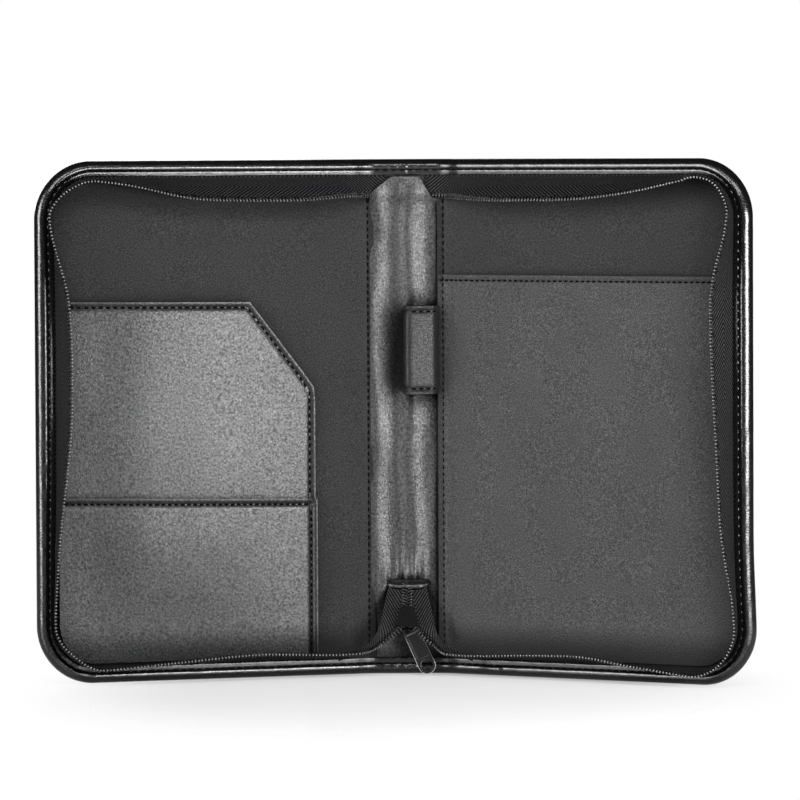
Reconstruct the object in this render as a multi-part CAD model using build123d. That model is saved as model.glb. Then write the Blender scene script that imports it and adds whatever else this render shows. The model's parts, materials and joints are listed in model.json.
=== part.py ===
from build123d import *

import os
from math import cos, floor, radians, sin, tan

# A zippered padfolio for a small writing pad, standing open like a book.
# It is drawn flat first: X across the open folder, Y up the page, Z towards the reader, with the two
# fold lines in the plane Z = 0. Each cover is then folded about its edge of the spine, and the folder
# is stood up with the reader's side towards -Y. The origin is the middle of the spine's foot.

# Driving dimensions in millimetres and degrees
COVER_WIDTH = 158.5
COVER_HEIGHT = 238.0
CORNER_RADIUS = 27.0
SPINE_WIDTH = 40.0
LEFT_FOLD = 21.0
RIGHT_FOLD = 30.0

# Sheet thicknesses
SKIN = 1.0
PADDING = 1.4
BOARD = 1.6
LINING = 0.6
INTERLINING = 0.8
SPINE_LINING = 0.9
TAPE = 0.5
POCKET_LEATHER = 1.0
POCKET_CLOTH = 0.7

# Edge binding
BINDING = 0.8
BINDING_WIDTH = 7.5
BINDING_ROLL = 2.6

# Clearances
FOLD_GAP = 0.3
EDGE_CLEARANCE = 0.1
TAPE_CLEARANCE = 0.2
MOVING_CLEARANCE = 0.3

# Zip tape and coil round each cover
TAPE_FREE = 14.5
TAPE_LEAN = 75.0
TAPE_START = 18.0
TAPE_TOP_START = 3.0
TOOTH_PITCH = 1.62
TOOTH_RISE = 1.2
COIL_WIDTH = 1.6
COIL_CORE = 0.8

# Pockets
POCKET_INSET = 10.5
POCKET_GAP = 0.8
SEAM_WIDTH = 3.0
DOCUMENT_POCKET_START = 25.6
DOCUMENT_POCKET_HEIGHT = 172.5
DOCUMENT_POCKET_CUT_ACROSS = 31.7
DOCUMENT_POCKET_CUT_DOWN = 39.3
CARD_POCKET_HEIGHT = 82.0
NOTEPAD_POCKET_HEIGHT = 184.5

# Spine lining and pen loop
LINING_CUT_ACROSS = 10.0
LINING_CUT_DOWN = 9.0
LINING_TONGUE = 6.0
PEN_BORE_RADIUS = 5.2
PEN_LOOP_LEATHER = 0.9
PEN_LOOP_LENGTH = 40.6
PEN_LOOP_HEIGHT = 129.7
PEN_LOOP_CENTRE = 5.4
PEN_LOOP_SEAM = 15.2

# Closed tail of the zip, which comes out of a slit in the spine lining
SLIT_HEIGHT = 42.5
SLIT_OPENING = 4.2
TAIL_LEAN = 35.0
TAIL_HALF_WIDTH = 9.3
TAIL_HALF_GAP = 1.1
TAIL_TUCK = 14.0
TAIL_BEND_ABOVE_SLIT = 1.7
TAIL_LENGTH = 24.0
CHAIN_HALF_WIDTH = 2.4
CHAIN_CORE = 1.1
CHAIN_TOOTH = 0.6
CHAIN_THICKNESS = 1.5
CHAIN_START = 4.0
ZIP_END_START = 7.0

# Slider, measured along the tail from the bend under the slit
SLIDER_START = 16.6
SLIDER_LENGTH = 11.5
SLIDER_LOBE_RADIUS = 2.9
SLIDER_LOBE_OFFSET = 2.0
SLIDER_NARROW_RADIUS = 3.7
SLIDER_PLATE = 1.0
SLIDER_WALL = 0.8
SLIDER_WALL_LENGTH = 5.4
NECK_HALF_WIDTH = 0.7
NECK_LENGTH = 2.6
NECK_TO_MOUTH = 1.6
BAIL_WIDTH = 1.6
BAIL_OPENING = 2.6
BAIL_WIRE = 0.9
BAIL_POST = 1.2
BAIL_LENGTH = 7.4
BAIL_TO_MOUTH = 2.6

# Pull tab
PULL_LENGTH = 25.2
PULL_NECK_WIDTH = 7.4
PULL_END_WIDTH = 8.0
PULL_THICKNESS = 1.0
PULL_TILT = 25.0
PULL_BAR = 1.0
PULL_RAIL = 0.8
PULL_EYE_TOP = 3.6
PULL_EYE_HEIGHT = 3.4
PULL_HOLE_RADIUS = 2.8
PULL_PANEL_DEPTH = 0.25
PULL_PANEL_RIM = 1.1
PULL_BAR_TO_POST = 1.5
PULL_BAR_TO_PLATE = 1.5

# Levels of the stacked sheets, from the fold plane towards the reader
FOLD = SPINE_WIDTH / 2
BOARD_TOP = PADDING + BOARD
LINING_TOP = BOARD_TOP + LINING
TAPE_TOP = LINING_TOP + TAPE
COVER_TOP = TAPE_TOP + BINDING
COVER_BACK = -SKIN - BINDING
SPINE_TOP = INTERLINING + SPINE_LINING
SPINE_FACE = SPINE_TOP + BINDING
EDGE_INSET = BINDING_ROLL + EDGE_CLEARANCE

# The tape bends up from its sewn root just inside the binding
LEAN = radians(TAPE_LEAN)
TAPE_BEND = BINDING_WIDTH + TAPE_CLEARANCE + TAPE * tan(LEAN / 2)
TAPE_EDGE = TAPE_BEND + TAPE_FREE * cos(LEAN)
TAPE_EDGE_TOP = LINING_TOP + TAPE_FREE * sin(LEAN)
COIL_BASE = TAPE_EDGE_TOP + TAPE * cos(LEAN)
COIL_INSET = TAPE_EDGE - TAPE * sin(LEAN) / 2

# The tail's own frame: local Y runs up the chain towards the slit, local Z faces the reader
TAIL = radians(TAIL_LEAN)
TAIL_BEND_HEIGHT = SLIT_HEIGHT + TAIL_BEND_ABOVE_SLIT
TAIL_BEND_LEVEL = (INTERLINING - TAPE) / 2
CHAIN = Plane(
    origin=(0, TAIL_BEND_HEIGHT, TAIL_BEND_LEVEL),
    x_dir=(1, 0, 0),
    z_dir=(0, sin(TAIL), cos(TAIL)),
)
CHANNEL_LOW = -MOVING_CLEARANCE
CHANNEL_HIGH = TAPE + CHAIN_THICKNESS + MOVING_CLEARANCE
PLATE_BACK = CHANNEL_LOW - SLIDER_PLATE
SLIDER_MOUTH = SLIDER_START + SLIDER_LENGTH

LOW_CORNER = (Align.MIN, Align.MIN)
LOW_BLOCK = (Align.MIN, Align.MIN, Align.MIN)


def slab(width, height, low, high, at_x, at_y):
    """A flat rectangular sheet from its lower left corner."""
    return Pos(at_x, at_y, low) * Box(width, height, high - low, align=LOW_BLOCK)


def cover_panel(low, high):
    """A sheet of a cover's outline, set back from the fold by its own height so that the cover can close."""
    start = FOLD_GAP + max(high, 0)
    width = COVER_WIDTH - EDGE_INSET - start
    sheet = Rectangle(width, COVER_HEIGHT - 2 * EDGE_INSET, align=LOW_CORNER)
    sheet = fillet(sheet.vertices().group_by(Axis.X)[-1], CORNER_RADIUS - EDGE_INSET)
    return extrude(Pos(FOLD + start, EDGE_INSET, low) * sheet, amount=high - low)


def edge_path(start, end):
    """The cover's outer edge from the foot of the fold, round three sides, to its head."""
    return FilletPolyline(
        (FOLD + start, 0),
        (FOLD + COVER_WIDTH, 0),
        (FOLD + COVER_WIDTH, COVER_HEIGHT),
        (FOLD + end, COVER_HEIGHT),
        radius=CORNER_RADIUS,
    )


def edge_section_plane(start):
    """The plane across the edge path's start: local X is the inset, local Y the level."""
    return Plane(origin=(FOLD + start, 0, 0), x_dir=(0, 1, 0), z_dir=(1, 0, 0))


def binding_section(front):
    """The folded strip's U section round a stack of sheets, with a filled roll at its edge and a flat foot."""
    depth = front - COVER_BACK
    outer = Pos(0, COVER_BACK) * Rectangle(BINDING_WIDTH, depth, align=LOW_CORNER)
    outer = fillet(outer.vertices().group_by(Axis.X)[0], min(BINDING_ROLL, 0.4 * depth))
    room = depth - 2 * BINDING
    inner = Pos(BINDING_ROLL, -SKIN) * Rectangle(BINDING_WIDTH - BINDING_ROLL, room, align=LOW_CORNER)
    return outer - inner


def fold_relief():
    """What a cover's binding gives up at the fold: a mitre of half the right angle it closes through."""
    reach = COVER_TOP - COVER_BACK
    outline = Polyline(
        (FOLD - reach, -reach),
        (FOLD + FOLD_GAP, -reach),
        (FOLD + FOLD_GAP, 0),
        (FOLD + FOLD_GAP + reach, reach),
        (FOLD - reach, reach),
        close=True,
    )
    length = COVER_HEIGHT + 2 * reach
    return extrude(Plane.XZ.offset(reach) * make_face(outline), amount=-length)


def cover_binding():
    """The binding strip round a cover's three free edges."""
    path = edge_path(0, 0)
    strip = sweep(edge_section_plane(0) * binding_section(COVER_TOP), path=path)
    return strip - fold_relief()


def bent_strip(root, leaf, lean):
    """A strip's section, bent up by an angle: the root runs to -X and the leaf rises from the origin."""
    rise = (leaf * cos(lean), leaf * sin(lean))
    back = (rise[0] - TAPE * sin(lean), rise[1] + TAPE * cos(lean))
    outline = Polyline(
        (-root, 0), (0, 0), rise, back, (-TAPE * tan(lean / 2), TAPE), (-root, TAPE), close=True
    )
    return make_face(outline)


def cover_zip_tape():
    """One zip tape: its root is sewn under the binding and its free edge stands up round the cover."""
    section = Pos(TAPE_BEND, LINING_TOP) * bent_strip(TAPE_BEND - EDGE_INSET, TAPE_FREE, LEAN)
    return sweep(edge_section_plane(TAPE_START) * section, path=edge_path(TAPE_START, TAPE_TOP_START))


def tooth_outline(count, core):
    """Points of a row of pointed teeth on a core line, from the far end back to the start."""
    points = []
    for index in reversed(range(count)):
        points += [((index + 0.5) * TOOTH_PITCH, core + TOOTH_RISE), (index * TOOTH_PITCH, core)]
    return points


def toothed_run(length):
    """A straight length of coil along X, standing on Z = 0, with its teeth upwards."""
    count = floor(length / TOOTH_PITCH)
    spare = (length - count * TOOTH_PITCH) / 2
    teeth = [(x + spare, z) for x, z in tooth_outline(count, COIL_CORE)]
    outline = Polyline(
        (0, 0), (length, 0), (length, COIL_CORE), (length - spare, COIL_CORE), *teeth, (0, COIL_CORE), close=True
    )
    return extrude(Plane.XZ.offset(COIL_WIDTH / 2) * make_face(outline), amount=-COIL_WIDTH)


def toothed_corner(radius):
    """A quarter turn of coil about the origin, from +X to +Y."""
    ring = Circle(radius + COIL_WIDTH / 2) - Circle(radius - COIL_WIDTH / 2)
    reach = radius + COIL_WIDTH
    core = extrude(ring & Rectangle(reach, reach, align=LOW_CORNER), amount=COIL_CORE)
    count = floor(radius * radians(90) / TOOTH_PITCH)
    half = TOOTH_PITCH / 2 - EDGE_CLEARANCE
    outline = Polyline((-half, 0), (half, 0), (0, TOOTH_RISE), close=True)
    tooth = extrude(Plane.YZ.offset(-COIL_WIDTH / 2) * make_face(outline), amount=COIL_WIDTH)
    teeth = [
        Rot(0, 0, 90 * (index + 0.5) / count) * Pos(radius, 0, COIL_CORE) * tooth for index in range(count)
    ]
    return core + teeth


def cover_zip_coil():
    """The coil on a tape's free edge, as a core with its row of teeth, round three sides of a cover."""
    radius = CORNER_RADIUS - COIL_INSET
    turn = COVER_WIDTH - CORNER_RADIUS
    side = COVER_HEIGHT - 2 * CORNER_RADIUS
    foot = Pos(FOLD + TAPE_START, COIL_INSET, COIL_BASE) * toothed_run(turn - TAPE_START)
    fore_edge = Pos(FOLD + COVER_WIDTH - COIL_INSET, CORNER_RADIUS, COIL_BASE) * Rot(0, 0, 90) * toothed_run(side)
    head = Pos(FOLD + TAPE_TOP_START, COVER_HEIGHT - COIL_INSET, COIL_BASE) * toothed_run(turn - TAPE_TOP_START)
    quarter = toothed_corner(radius)
    low_turn = Pos(FOLD + turn, CORNER_RADIUS, COIL_BASE) * Rot(0, 0, -90) * quarter
    high_turn = Pos(FOLD + turn, COVER_HEIGHT - CORNER_RADIUS, COIL_BASE) * quarter
    return foot + [low_turn, fore_edge, high_turn, head]


def pocket_outline(start, height):
    """A pocket panel's face from its own lower edge, with the corner that follows the cover's corner."""
    width = COVER_WIDTH - POCKET_INSET - start
    panel = Pos(FOLD + start, POCKET_INSET) * Rectangle(width, height - POCKET_INSET, align=LOW_CORNER)
    corner = panel.vertices().group_by(Axis.X)[-1].sort_by(Axis.Y)[0]
    return fillet(corner, CORNER_RADIUS - POCKET_INSET)


def pocket_seams(start, height, inner_height, low, gap):
    """The turned-in seam allowances that close a pocket at its foot and both sides."""
    foot = COVER_WIDTH - CORNER_RADIUS - start - SEAM_WIDTH
    outer_x = FOLD + COVER_WIDTH - POCKET_INSET - SEAM_WIDTH
    return Compound(
        children=[
            slab(SEAM_WIDTH, inner_height - POCKET_INSET, low, low + gap, FOLD + start, POCKET_INSET),
            slab(foot, SEAM_WIDTH, low, low + gap, FOLD + start + SEAM_WIDTH, POCKET_INSET),
            slab(SEAM_WIDTH, height - CORNER_RADIUS, low, low + gap, outer_x, CORNER_RADIUS),
        ]
    )


def document_pocket():
    """The tall leather pocket, cut away on a slant at the corner next to the spine."""
    face = pocket_outline(DOCUMENT_POCKET_START, DOCUMENT_POCKET_HEIGHT)
    slant = Polyline(
        (FOLD + DOCUMENT_POCKET_START, DOCUMENT_POCKET_HEIGHT),
        (FOLD + DOCUMENT_POCKET_START + DOCUMENT_POCKET_CUT_ACROSS, DOCUMENT_POCKET_HEIGHT),
        (FOLD + DOCUMENT_POCKET_START, DOCUMENT_POCKET_HEIGHT - DOCUMENT_POCKET_CUT_DOWN),
        close=True,
    )
    return extrude(Pos(0, 0, DOCUMENT_LOW) * (face - make_face(slant)), amount=POCKET_LEATHER)


def spine_lining():
    """The leather strip down the inside of the spine, slit for the zip's tail, its head cut to a tongue."""
    half = FOLD - FOLD_GAP - SPINE_TOP
    shoulder = COVER_HEIGHT - BINDING_WIDTH
    right_side = [
        (half, EDGE_INSET),
        (half, shoulder - LINING_CUT_DOWN),
        (max(half - LINING_CUT_ACROSS, LINING_TONGUE), shoulder),
        (LINING_TONGUE, shoulder),
        (LINING_TONGUE, COVER_HEIGHT - EDGE_INSET),
    ]
    left_side = [(-x, y) for x, y in reversed(right_side)]
    strip = make_face(Polyline(*right_side, *left_side, close=True))
    slit = Pos(0, SLIT_HEIGHT) * SlotOverall(2 * TAIL_HALF_WIDTH + SLIT_OPENING, SLIT_OPENING)
    return extrude(Pos(0, 0, INTERLINING) * (strip - slit), amount=SPINE_LINING)


def spine_interlining():
    """The stiffening fleece under the spine lining, with a window for the zip's tucked tail."""
    half = FOLD - FOLD_GAP - INTERLINING
    sheet = slab(2 * half, COVER_HEIGHT - 2 * EDGE_INSET, 0, INTERLINING, -half, EDGE_INSET)
    side = TAIL_HALF_WIDTH + MOVING_CLEARANCE
    foot = SLIT_HEIGHT - SLIT_OPENING / 2
    head = TAIL_BEND_HEIGHT + TAIL_TUCK + MOVING_CLEARANCE
    return sheet - slab(2 * side, head - foot, 0, INTERLINING, -side, foot)


def spine_binding():
    """The binding strip across the spine's foot, mitred at both folds."""
    section = edge_section_plane(-SPINE_WIDTH) * binding_section(SPINE_FACE)
    strip = extrude(section, amount=SPINE_WIDTH)
    right_end = mirror(fold_relief(), about=Plane.YZ.offset(FOLD))
    return strip - right_end - mirror(right_end, about=Plane.YZ)


def pen_loop():
    """A leather strip wrapped into a round loop for a pen, its two ends sewn flat into the lining's seam."""
    outer_radius = PEN_BORE_RADIUS + PEN_LOOP_LEATHER
    level = SPINE_TOP + EDGE_CLEARANCE + outer_radius
    ring = Pos(PEN_LOOP_CENTRE, level) * Circle(outer_radius)
    ends = Pos(PEN_LOOP_CENTRE, SPINE_TOP + EDGE_CLEARANCE) * Rectangle(
        PEN_LOOP_SEAM - PEN_LOOP_CENTRE, 2 * PEN_LOOP_LEATHER, align=LOW_CORNER
    )
    wrap = make_hull(ring.edges() + ends.edges()) - Pos(PEN_LOOP_CENTRE, level) * Circle(PEN_BORE_RADIUS)
    return extrude(Plane.XZ.offset(-PEN_LOOP_HEIGHT) * wrap, amount=-PEN_LOOP_LENGTH)


def zip_tail_tape():
    """The two tapes of the closed tail, tucked up behind the spine lining and leaning out of its slit."""
    frame = Plane(
        origin=(TAIL_HALF_WIDTH, TAIL_BEND_HEIGHT, TAIL_BEND_LEVEL), x_dir=(0, -1, 0), z_dir=(-1, 0, 0)
    )
    right = extrude(frame * bent_strip(TAIL_TUCK, TAIL_LENGTH, TAIL), amount=TAIL_HALF_WIDTH - TAIL_HALF_GAP)
    return Compound(children=[right, mirror(right, about=Plane.YZ)])


def zip_tail_coil():
    """The two meshed rows of teeth of the closed tail: each row's teeth stand in the other's gaps."""
    length = SLIDER_MOUTH - NECK_TO_MOUTH - NECK_LENGTH - MOVING_CLEARANCE - CHAIN_START
    count = floor(length / TOOTH_PITCH)
    inner = CHAIN_HALF_WIDTH - CHAIN_CORE
    reach = inner + MOVING_CLEARANCE
    rows = []
    for side in (1, -1):
        row = Pos(side * (CHAIN_HALF_WIDTH - CHAIN_CORE / 2), 0) * Rectangle(
            CHAIN_CORE, count * TOOTH_PITCH, align=(Align.CENTER, Align.MAX)
        )
        for index in range(count):
            along = -(index + 0.5 + side * 0.25) * TOOTH_PITCH
            row += Pos(side * (inner - reach / 2), along) * Rectangle(reach, CHAIN_TOOTH)
        rows.append(extrude(CHAIN * Pos(0, -CHAIN_START, TAPE) * row, amount=CHAIN_THICKNESS))
    return Compound(children=rows)


def fold_point(inset, level, side, angle):
    """Where a point of a cover at the start of its zip tape lies once the cover is folded."""
    along = TAPE_START - MOVING_CLEARANCE
    turn = radians(angle)
    across = FOLD + along * cos(turn) - level * sin(turn)
    return Vector(side * across, inset, along * sin(turn) + level * cos(turn))


def flat_panel(first, second, third):
    """A flat three-cornered panel of tape, with its thickness half to each side."""
    normal = (second - first).cross(third - first).normalized()
    face = make_face(Polyline(first, second, third, close=True))
    return Pos(normal * (-TAPE / 2)) * extrude(face, amount=TAPE, dir=normal)


def zip_end(side, angle):
    """The slack tape from the slider's mouth and the slit's end to a cover's tape, creased on its diagonal."""
    tail_edge = side * (TAIL_HALF_WIDTH + MOVING_CLEARANCE)
    mouth = CHAIN.from_local_coords((tail_edge, -TAIL_LENGTH, TAPE / 2))
    slit_end = CHAIN.from_local_coords((tail_edge, -ZIP_END_START, TAPE / 2))
    coil_edge = fold_point(TAPE_EDGE, TAPE_EDGE_TOP, side, angle)
    root_edge = fold_point(TAPE_BEND, NOTEPAD_TOP + MOVING_CLEARANCE, side, angle)
    return flat_panel(mouth, slit_end, coil_edge) + flat_panel(slit_end, root_edge, coil_edge)


def zip_top_ends():
    """The tapes' cut ends at the head of the spine, lying beside the lining's tongue."""
    half = FOLD - FOLD_GAP - SPINE_TOP
    shoulder = COVER_HEIGHT - BINDING_WIDTH
    inner = max(half - LINING_CUT_ACROSS, LINING_TONGUE)
    slack = EDGE_CLEARANCE * 2
    end = make_face(
        Polyline(
            (half, shoulder - LINING_CUT_DOWN + slack),
            (half, shoulder - EDGE_CLEARANCE),
            (inner + slack, shoulder - EDGE_CLEARANCE),
            close=True,
        )
    )
    right = extrude(Pos(0, 0, INTERLINING) * end, amount=TAPE)
    return Compound(children=[right, mirror(right, about=Plane.YZ)])


def slider_outline(inset):
    """A slider plate's face in the chain's frame: two lobes at the mouth, round and narrow towards the slit."""
    narrow = Pos(0, -(SLIDER_START + SLIDER_NARROW_RADIUS)) * Circle(SLIDER_NARROW_RADIUS - inset)
    lobe = Pos(SLIDER_LOBE_OFFSET, -(SLIDER_MOUTH - SLIDER_LOBE_RADIUS)) * Circle(SLIDER_LOBE_RADIUS - inset)
    half = make_hull(narrow.edges() + lobe.edges())
    return half + mirror(half, about=Plane.YZ)


def slider_body():
    """Two plates on a neck that parts the coils, with side walls that leave a slot for the tapes."""
    outline = slider_outline(0)
    back_plate = extrude(Pos(0, 0, CHANNEL_HIGH) * outline, amount=SLIDER_PLATE)
    front_plate = extrude(Pos(0, 0, PLATE_BACK) * outline, amount=SLIDER_PLATE)
    middle = -(SLIDER_START + SLIDER_LENGTH / 2)
    wall_low = TAPE + MOVING_CLEARANCE
    side_strip = Pos(0, middle) * Rectangle(2 * SLIDER_LENGTH, SLIDER_WALL_LENGTH)
    walls = extrude(
        Pos(0, 0, wall_low) * ((outline - slider_outline(SLIDER_WALL)) & side_strip),
        amount=CHANNEL_HIGH - wall_low,
    )
    neck_middle = -(SLIDER_MOUTH - NECK_TO_MOUTH - NECK_LENGTH / 2)
    neck_face = Pos(0, neck_middle) * SlotOverall(NECK_LENGTH, 2 * NECK_HALF_WIDTH, rotation=90)
    neck = extrude(Pos(0, 0, CHANNEL_LOW) * neck_face, amount=CHANNEL_HIGH - CHANNEL_LOW)
    return CHAIN.location * (back_plate + [walls, neck, front_plate])


def slider_bail():
    """The arched bail on the slider's outer plate, which holds the pull tab."""
    mouth_end = SLIDER_MOUTH - BAIL_TO_MOUTH
    height = BAIL_OPENING + BAIL_WIRE
    arch = Pos(-mouth_end, PLATE_BACK) * Rectangle(BAIL_LENGTH, height, align=(Align.MIN, Align.MAX))
    arch = fillet(arch.vertices().group_by(Axis.Y)[0], BAIL_WIRE)
    room = Pos(-mouth_end + BAIL_POST, PLATE_BACK) * Rectangle(
        BAIL_LENGTH - 2 * BAIL_POST, BAIL_OPENING, align=(Align.MIN, Align.MAX)
    )
    wire = extrude(Plane.YZ.offset(-BAIL_WIDTH / 2) * (arch - room), amount=BAIL_WIDTH)
    return CHAIN.location * wire


def pull_pivot():
    """The middle of the pull's bar, inside the bail above its lower post."""
    along = SLIDER_MOUTH - BAIL_TO_MOUTH - BAIL_POST - PULL_BAR_TO_POST
    return CHAIN.from_local_coords((0, -along, PLATE_BACK - PULL_BAR_TO_PLATE))


def pull_tab():
    """A flat tab with an eye round the bail, a recessed panel and a round hole in its rounded end."""
    end_radius = PULL_END_WIDTH / 2
    top = PULL_BAR / 2
    eye_foot = -top - PULL_EYE_HEIGHT
    bar = Rectangle(PULL_EYE_TOP + 2 * PULL_RAIL, PULL_BAR)
    neck = Pos(0, eye_foot) * Rectangle(PULL_NECK_WIDTH, PULL_BAR, align=(Align.CENTER, Align.MIN))
    end_at = -(PULL_LENGTH - end_radius)
    end = Pos(0, end_at) * Circle(end_radius)
    blank = make_hull(bar.edges() + neck.edges() + end.edges())
    eye_half = PULL_NECK_WIDTH / 2 - PULL_RAIL
    eye = make_face(
        Polyline(
            (-PULL_EYE_TOP / 2, -top),
            (PULL_EYE_TOP / 2, -top),
            (eye_half, eye_foot),
            (-eye_half, eye_foot),
            close=True,
        )
    )
    hole = Pos(0, end_at) * Circle(PULL_HOLE_RADIUS)
    plate = extrude(Pos(0, 0, -PULL_THICKNESS / 2) * (blank - eye - hole), amount=PULL_THICKNESS)
    panel_top = eye_foot - PULL_PANEL_RIM
    panel_length = panel_top - end_at - PULL_HOLE_RADIUS - PULL_PANEL_RIM
    panel = Pos(0, panel_top, PULL_THICKNESS / 2) * Rectangle(
        PULL_NECK_WIDTH - 2 * PULL_PANEL_RIM, panel_length, align=(Align.CENTER, Align.MAX)
    )
    tab = plate - extrude(panel, amount=-PULL_PANEL_DEPTH)
    return Location(pull_pivot()) * Rot(0, 0, PULL_TILT) * tab


# Levels of the pockets on the left cover and on the right cover
DOCUMENT_LOW = LINING_TOP + POCKET_GAP
CARD_SEAM_LOW = DOCUMENT_LOW + POCKET_LEATHER
CARD_LOW = CARD_SEAM_LOW + POCKET_GAP
NOTEPAD_LOW = LINING_TOP + POCKET_GAP
NOTEPAD_TOP = NOTEPAD_LOW + POCKET_CLOTH
NOTEPAD_START = FOLD_GAP + NOTEPAD_TOP

STAND = Rot(90, 0, 0)
FOLD_IN = {
    "left": Pos(-FOLD, 0, 0) * Rot(0, LEFT_FOLD, 0) * Pos(FOLD, 0, 0),
    "right": Pos(FOLD, 0, 0) * Rot(0, -RIGHT_FOLD, 0) * Pos(-FOLD, 0, 0),
}

# Pieces that both covers have, drawn for the right cover
both_covers = {
    "cover_skin": cover_panel(-SKIN, 0),
    "padding": cover_panel(0, PADDING),
    "board": cover_panel(PADDING, BOARD_TOP),
    "lining": cover_panel(BOARD_TOP, LINING_TOP),
    "binding": cover_binding(),
    "zip_tape": cover_zip_tape(),
    "zip_coil": cover_zip_coil(),
}

document_side = DOCUMENT_POCKET_HEIGHT - DOCUMENT_POCKET_CUT_DOWN
left_pieces = {
    "document_pocket": document_pocket(),
    "document_pocket_seam": pocket_seams(
        DOCUMENT_POCKET_START, DOCUMENT_POCKET_HEIGHT, document_side, LINING_TOP, POCKET_GAP
    ),
    "card_pocket": extrude(
        Pos(0, 0, CARD_LOW) * pocket_outline(DOCUMENT_POCKET_START, CARD_POCKET_HEIGHT), amount=POCKET_LEATHER
    ),
    "card_pocket_seam": pocket_seams(
        DOCUMENT_POCKET_START, CARD_POCKET_HEIGHT, CARD_POCKET_HEIGHT, CARD_SEAM_LOW, POCKET_GAP
    ),
}

right_pieces = {
    "notepad_pocket": extrude(
        Pos(0, 0, NOTEPAD_LOW) * pocket_outline(NOTEPAD_START, NOTEPAD_POCKET_HEIGHT), amount=POCKET_CLOTH
    ),
    "notepad_pocket_seam": pocket_seams(
        NOTEPAD_START, NOTEPAD_POCKET_HEIGHT, NOTEPAD_POCKET_HEIGHT, LINING_TOP, POCKET_GAP
    ),
}

foot_binding = spine_binding()
spine_pieces = {
    "spine_skin": slab(SPINE_WIDTH, COVER_HEIGHT - 2 * EDGE_INSET, -SKIN, 0, -FOLD, EDGE_INSET),
    "spine_interlining": spine_interlining(),
    "spine_lining": spine_lining(),
    "spine_binding_foot": foot_binding,
    "spine_binding_head": mirror(foot_binding, about=Plane.XZ.offset(-COVER_HEIGHT / 2)),
    "pen_loop": pen_loop(),
    "zip_tail_tape": zip_tail_tape(),
    "zip_tail_coil": zip_tail_coil(),
    "left_zip_end": zip_end(-1, LEFT_FOLD),
    "right_zip_end": zip_end(1, RIGHT_FOLD),
    "zip_top_ends": zip_top_ends(),
}

moving_pieces = {
    "slider_body": slider_body(),
    "slider_bail": slider_bail(),
    "pull_tab": pull_tab(),
}

folder = {}
for name, piece in both_covers.items():
    folder["left_" + name] = FOLD_IN["left"] * mirror(piece, about=Plane.YZ)
    folder["right_" + name] = FOLD_IN["right"] * piece
for name, piece in left_pieces.items():
    folder[name] = FOLD_IN["left"] * mirror(piece, about=Plane.YZ)
for name, piece in right_pieces.items():
    folder[name] = FOLD_IN["right"] * piece
folder.update(spine_pieces)
folder.update(moving_pieces)

os.makedirs("parts", exist_ok=True)
for name, piece in folder.items():
    export_step(STAND * piece, f"parts/{name}.step")

pivot = STAND * Pos(pull_pivot())
print("pull pivot", pivot.position)
print("slide direction", -sin(TAIL), cos(TAIL))
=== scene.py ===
import json
import math

import bpy
import numpy as np
from mathutils import Matrix, Vector


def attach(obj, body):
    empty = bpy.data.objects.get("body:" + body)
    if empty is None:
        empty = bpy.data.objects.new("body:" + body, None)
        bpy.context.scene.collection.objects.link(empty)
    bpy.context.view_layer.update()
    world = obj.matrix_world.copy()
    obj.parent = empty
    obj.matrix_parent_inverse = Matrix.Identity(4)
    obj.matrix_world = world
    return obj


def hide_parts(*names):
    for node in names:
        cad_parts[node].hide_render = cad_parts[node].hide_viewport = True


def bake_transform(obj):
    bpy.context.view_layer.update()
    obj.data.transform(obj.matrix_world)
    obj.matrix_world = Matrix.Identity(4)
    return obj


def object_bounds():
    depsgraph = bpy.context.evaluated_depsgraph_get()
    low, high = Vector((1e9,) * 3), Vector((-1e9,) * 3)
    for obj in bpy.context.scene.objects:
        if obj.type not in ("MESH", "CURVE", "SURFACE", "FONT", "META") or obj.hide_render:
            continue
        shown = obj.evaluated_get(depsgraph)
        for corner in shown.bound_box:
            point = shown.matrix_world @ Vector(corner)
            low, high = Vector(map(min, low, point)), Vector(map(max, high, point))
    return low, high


bl_info = {
    "name": "Zippered padfolio",
    "version": (1, 0, 0),
    "blender": (4, 5, 0),
    "location": "View3D > Sidebar > Padfolio",
    "description": "Builds the cloth, leather and zip of a zip-round folder on its packed frame",
    "category": "Object",
}

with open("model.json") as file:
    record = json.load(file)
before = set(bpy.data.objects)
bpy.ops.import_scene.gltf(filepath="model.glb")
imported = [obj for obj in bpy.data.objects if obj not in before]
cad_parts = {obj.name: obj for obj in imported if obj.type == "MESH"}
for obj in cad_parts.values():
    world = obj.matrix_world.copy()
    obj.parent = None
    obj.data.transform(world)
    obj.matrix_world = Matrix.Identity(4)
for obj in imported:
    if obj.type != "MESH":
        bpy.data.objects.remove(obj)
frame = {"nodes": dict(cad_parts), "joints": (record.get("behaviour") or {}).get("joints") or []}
CAD_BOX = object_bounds()
JOINTS = {joint["name"]: joint for joint in frame["joints"]}

MM = 0.001
SIDES = {"left": -1, "right": 1}

# Levels above the fold plane, towards the reader
SKIN_BACK = -1.0 * MM
STRIP_FRONT = 1.7 * MM
LINING_FRONT = 3.6 * MM
TAPE_FRONT = 4.15 * MM
NOTEPAD_FRONT = 4.9 * MM
POCKET_FRONT = 5.3 * MM
BINDING_BACK = -1.8 * MM
BINDING_FRONT = 4.9 * MM
SPINE_BINDING_FRONT = 2.5 * MM

# The linings' hemmed edges and the left one's seam, from the spine's middle
HEM = {"left": 14.9 * MM, "right": 14.4 * MM}
HEM_SEAM = 18.2 * MM
# the notepad pocket's cloth above the lining's, where both lie in the right hem
HEM_LAYER = 0.75 * MM

# The strip down the spine: half its width, and the slit's height, half opening and half width
STRIP_HALF = 17.2 * MM
SLIT = 42.5 * MM
SLIT_GAP = 1.1 * MM
SLIT_HALF = 9.6 * MM

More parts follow.
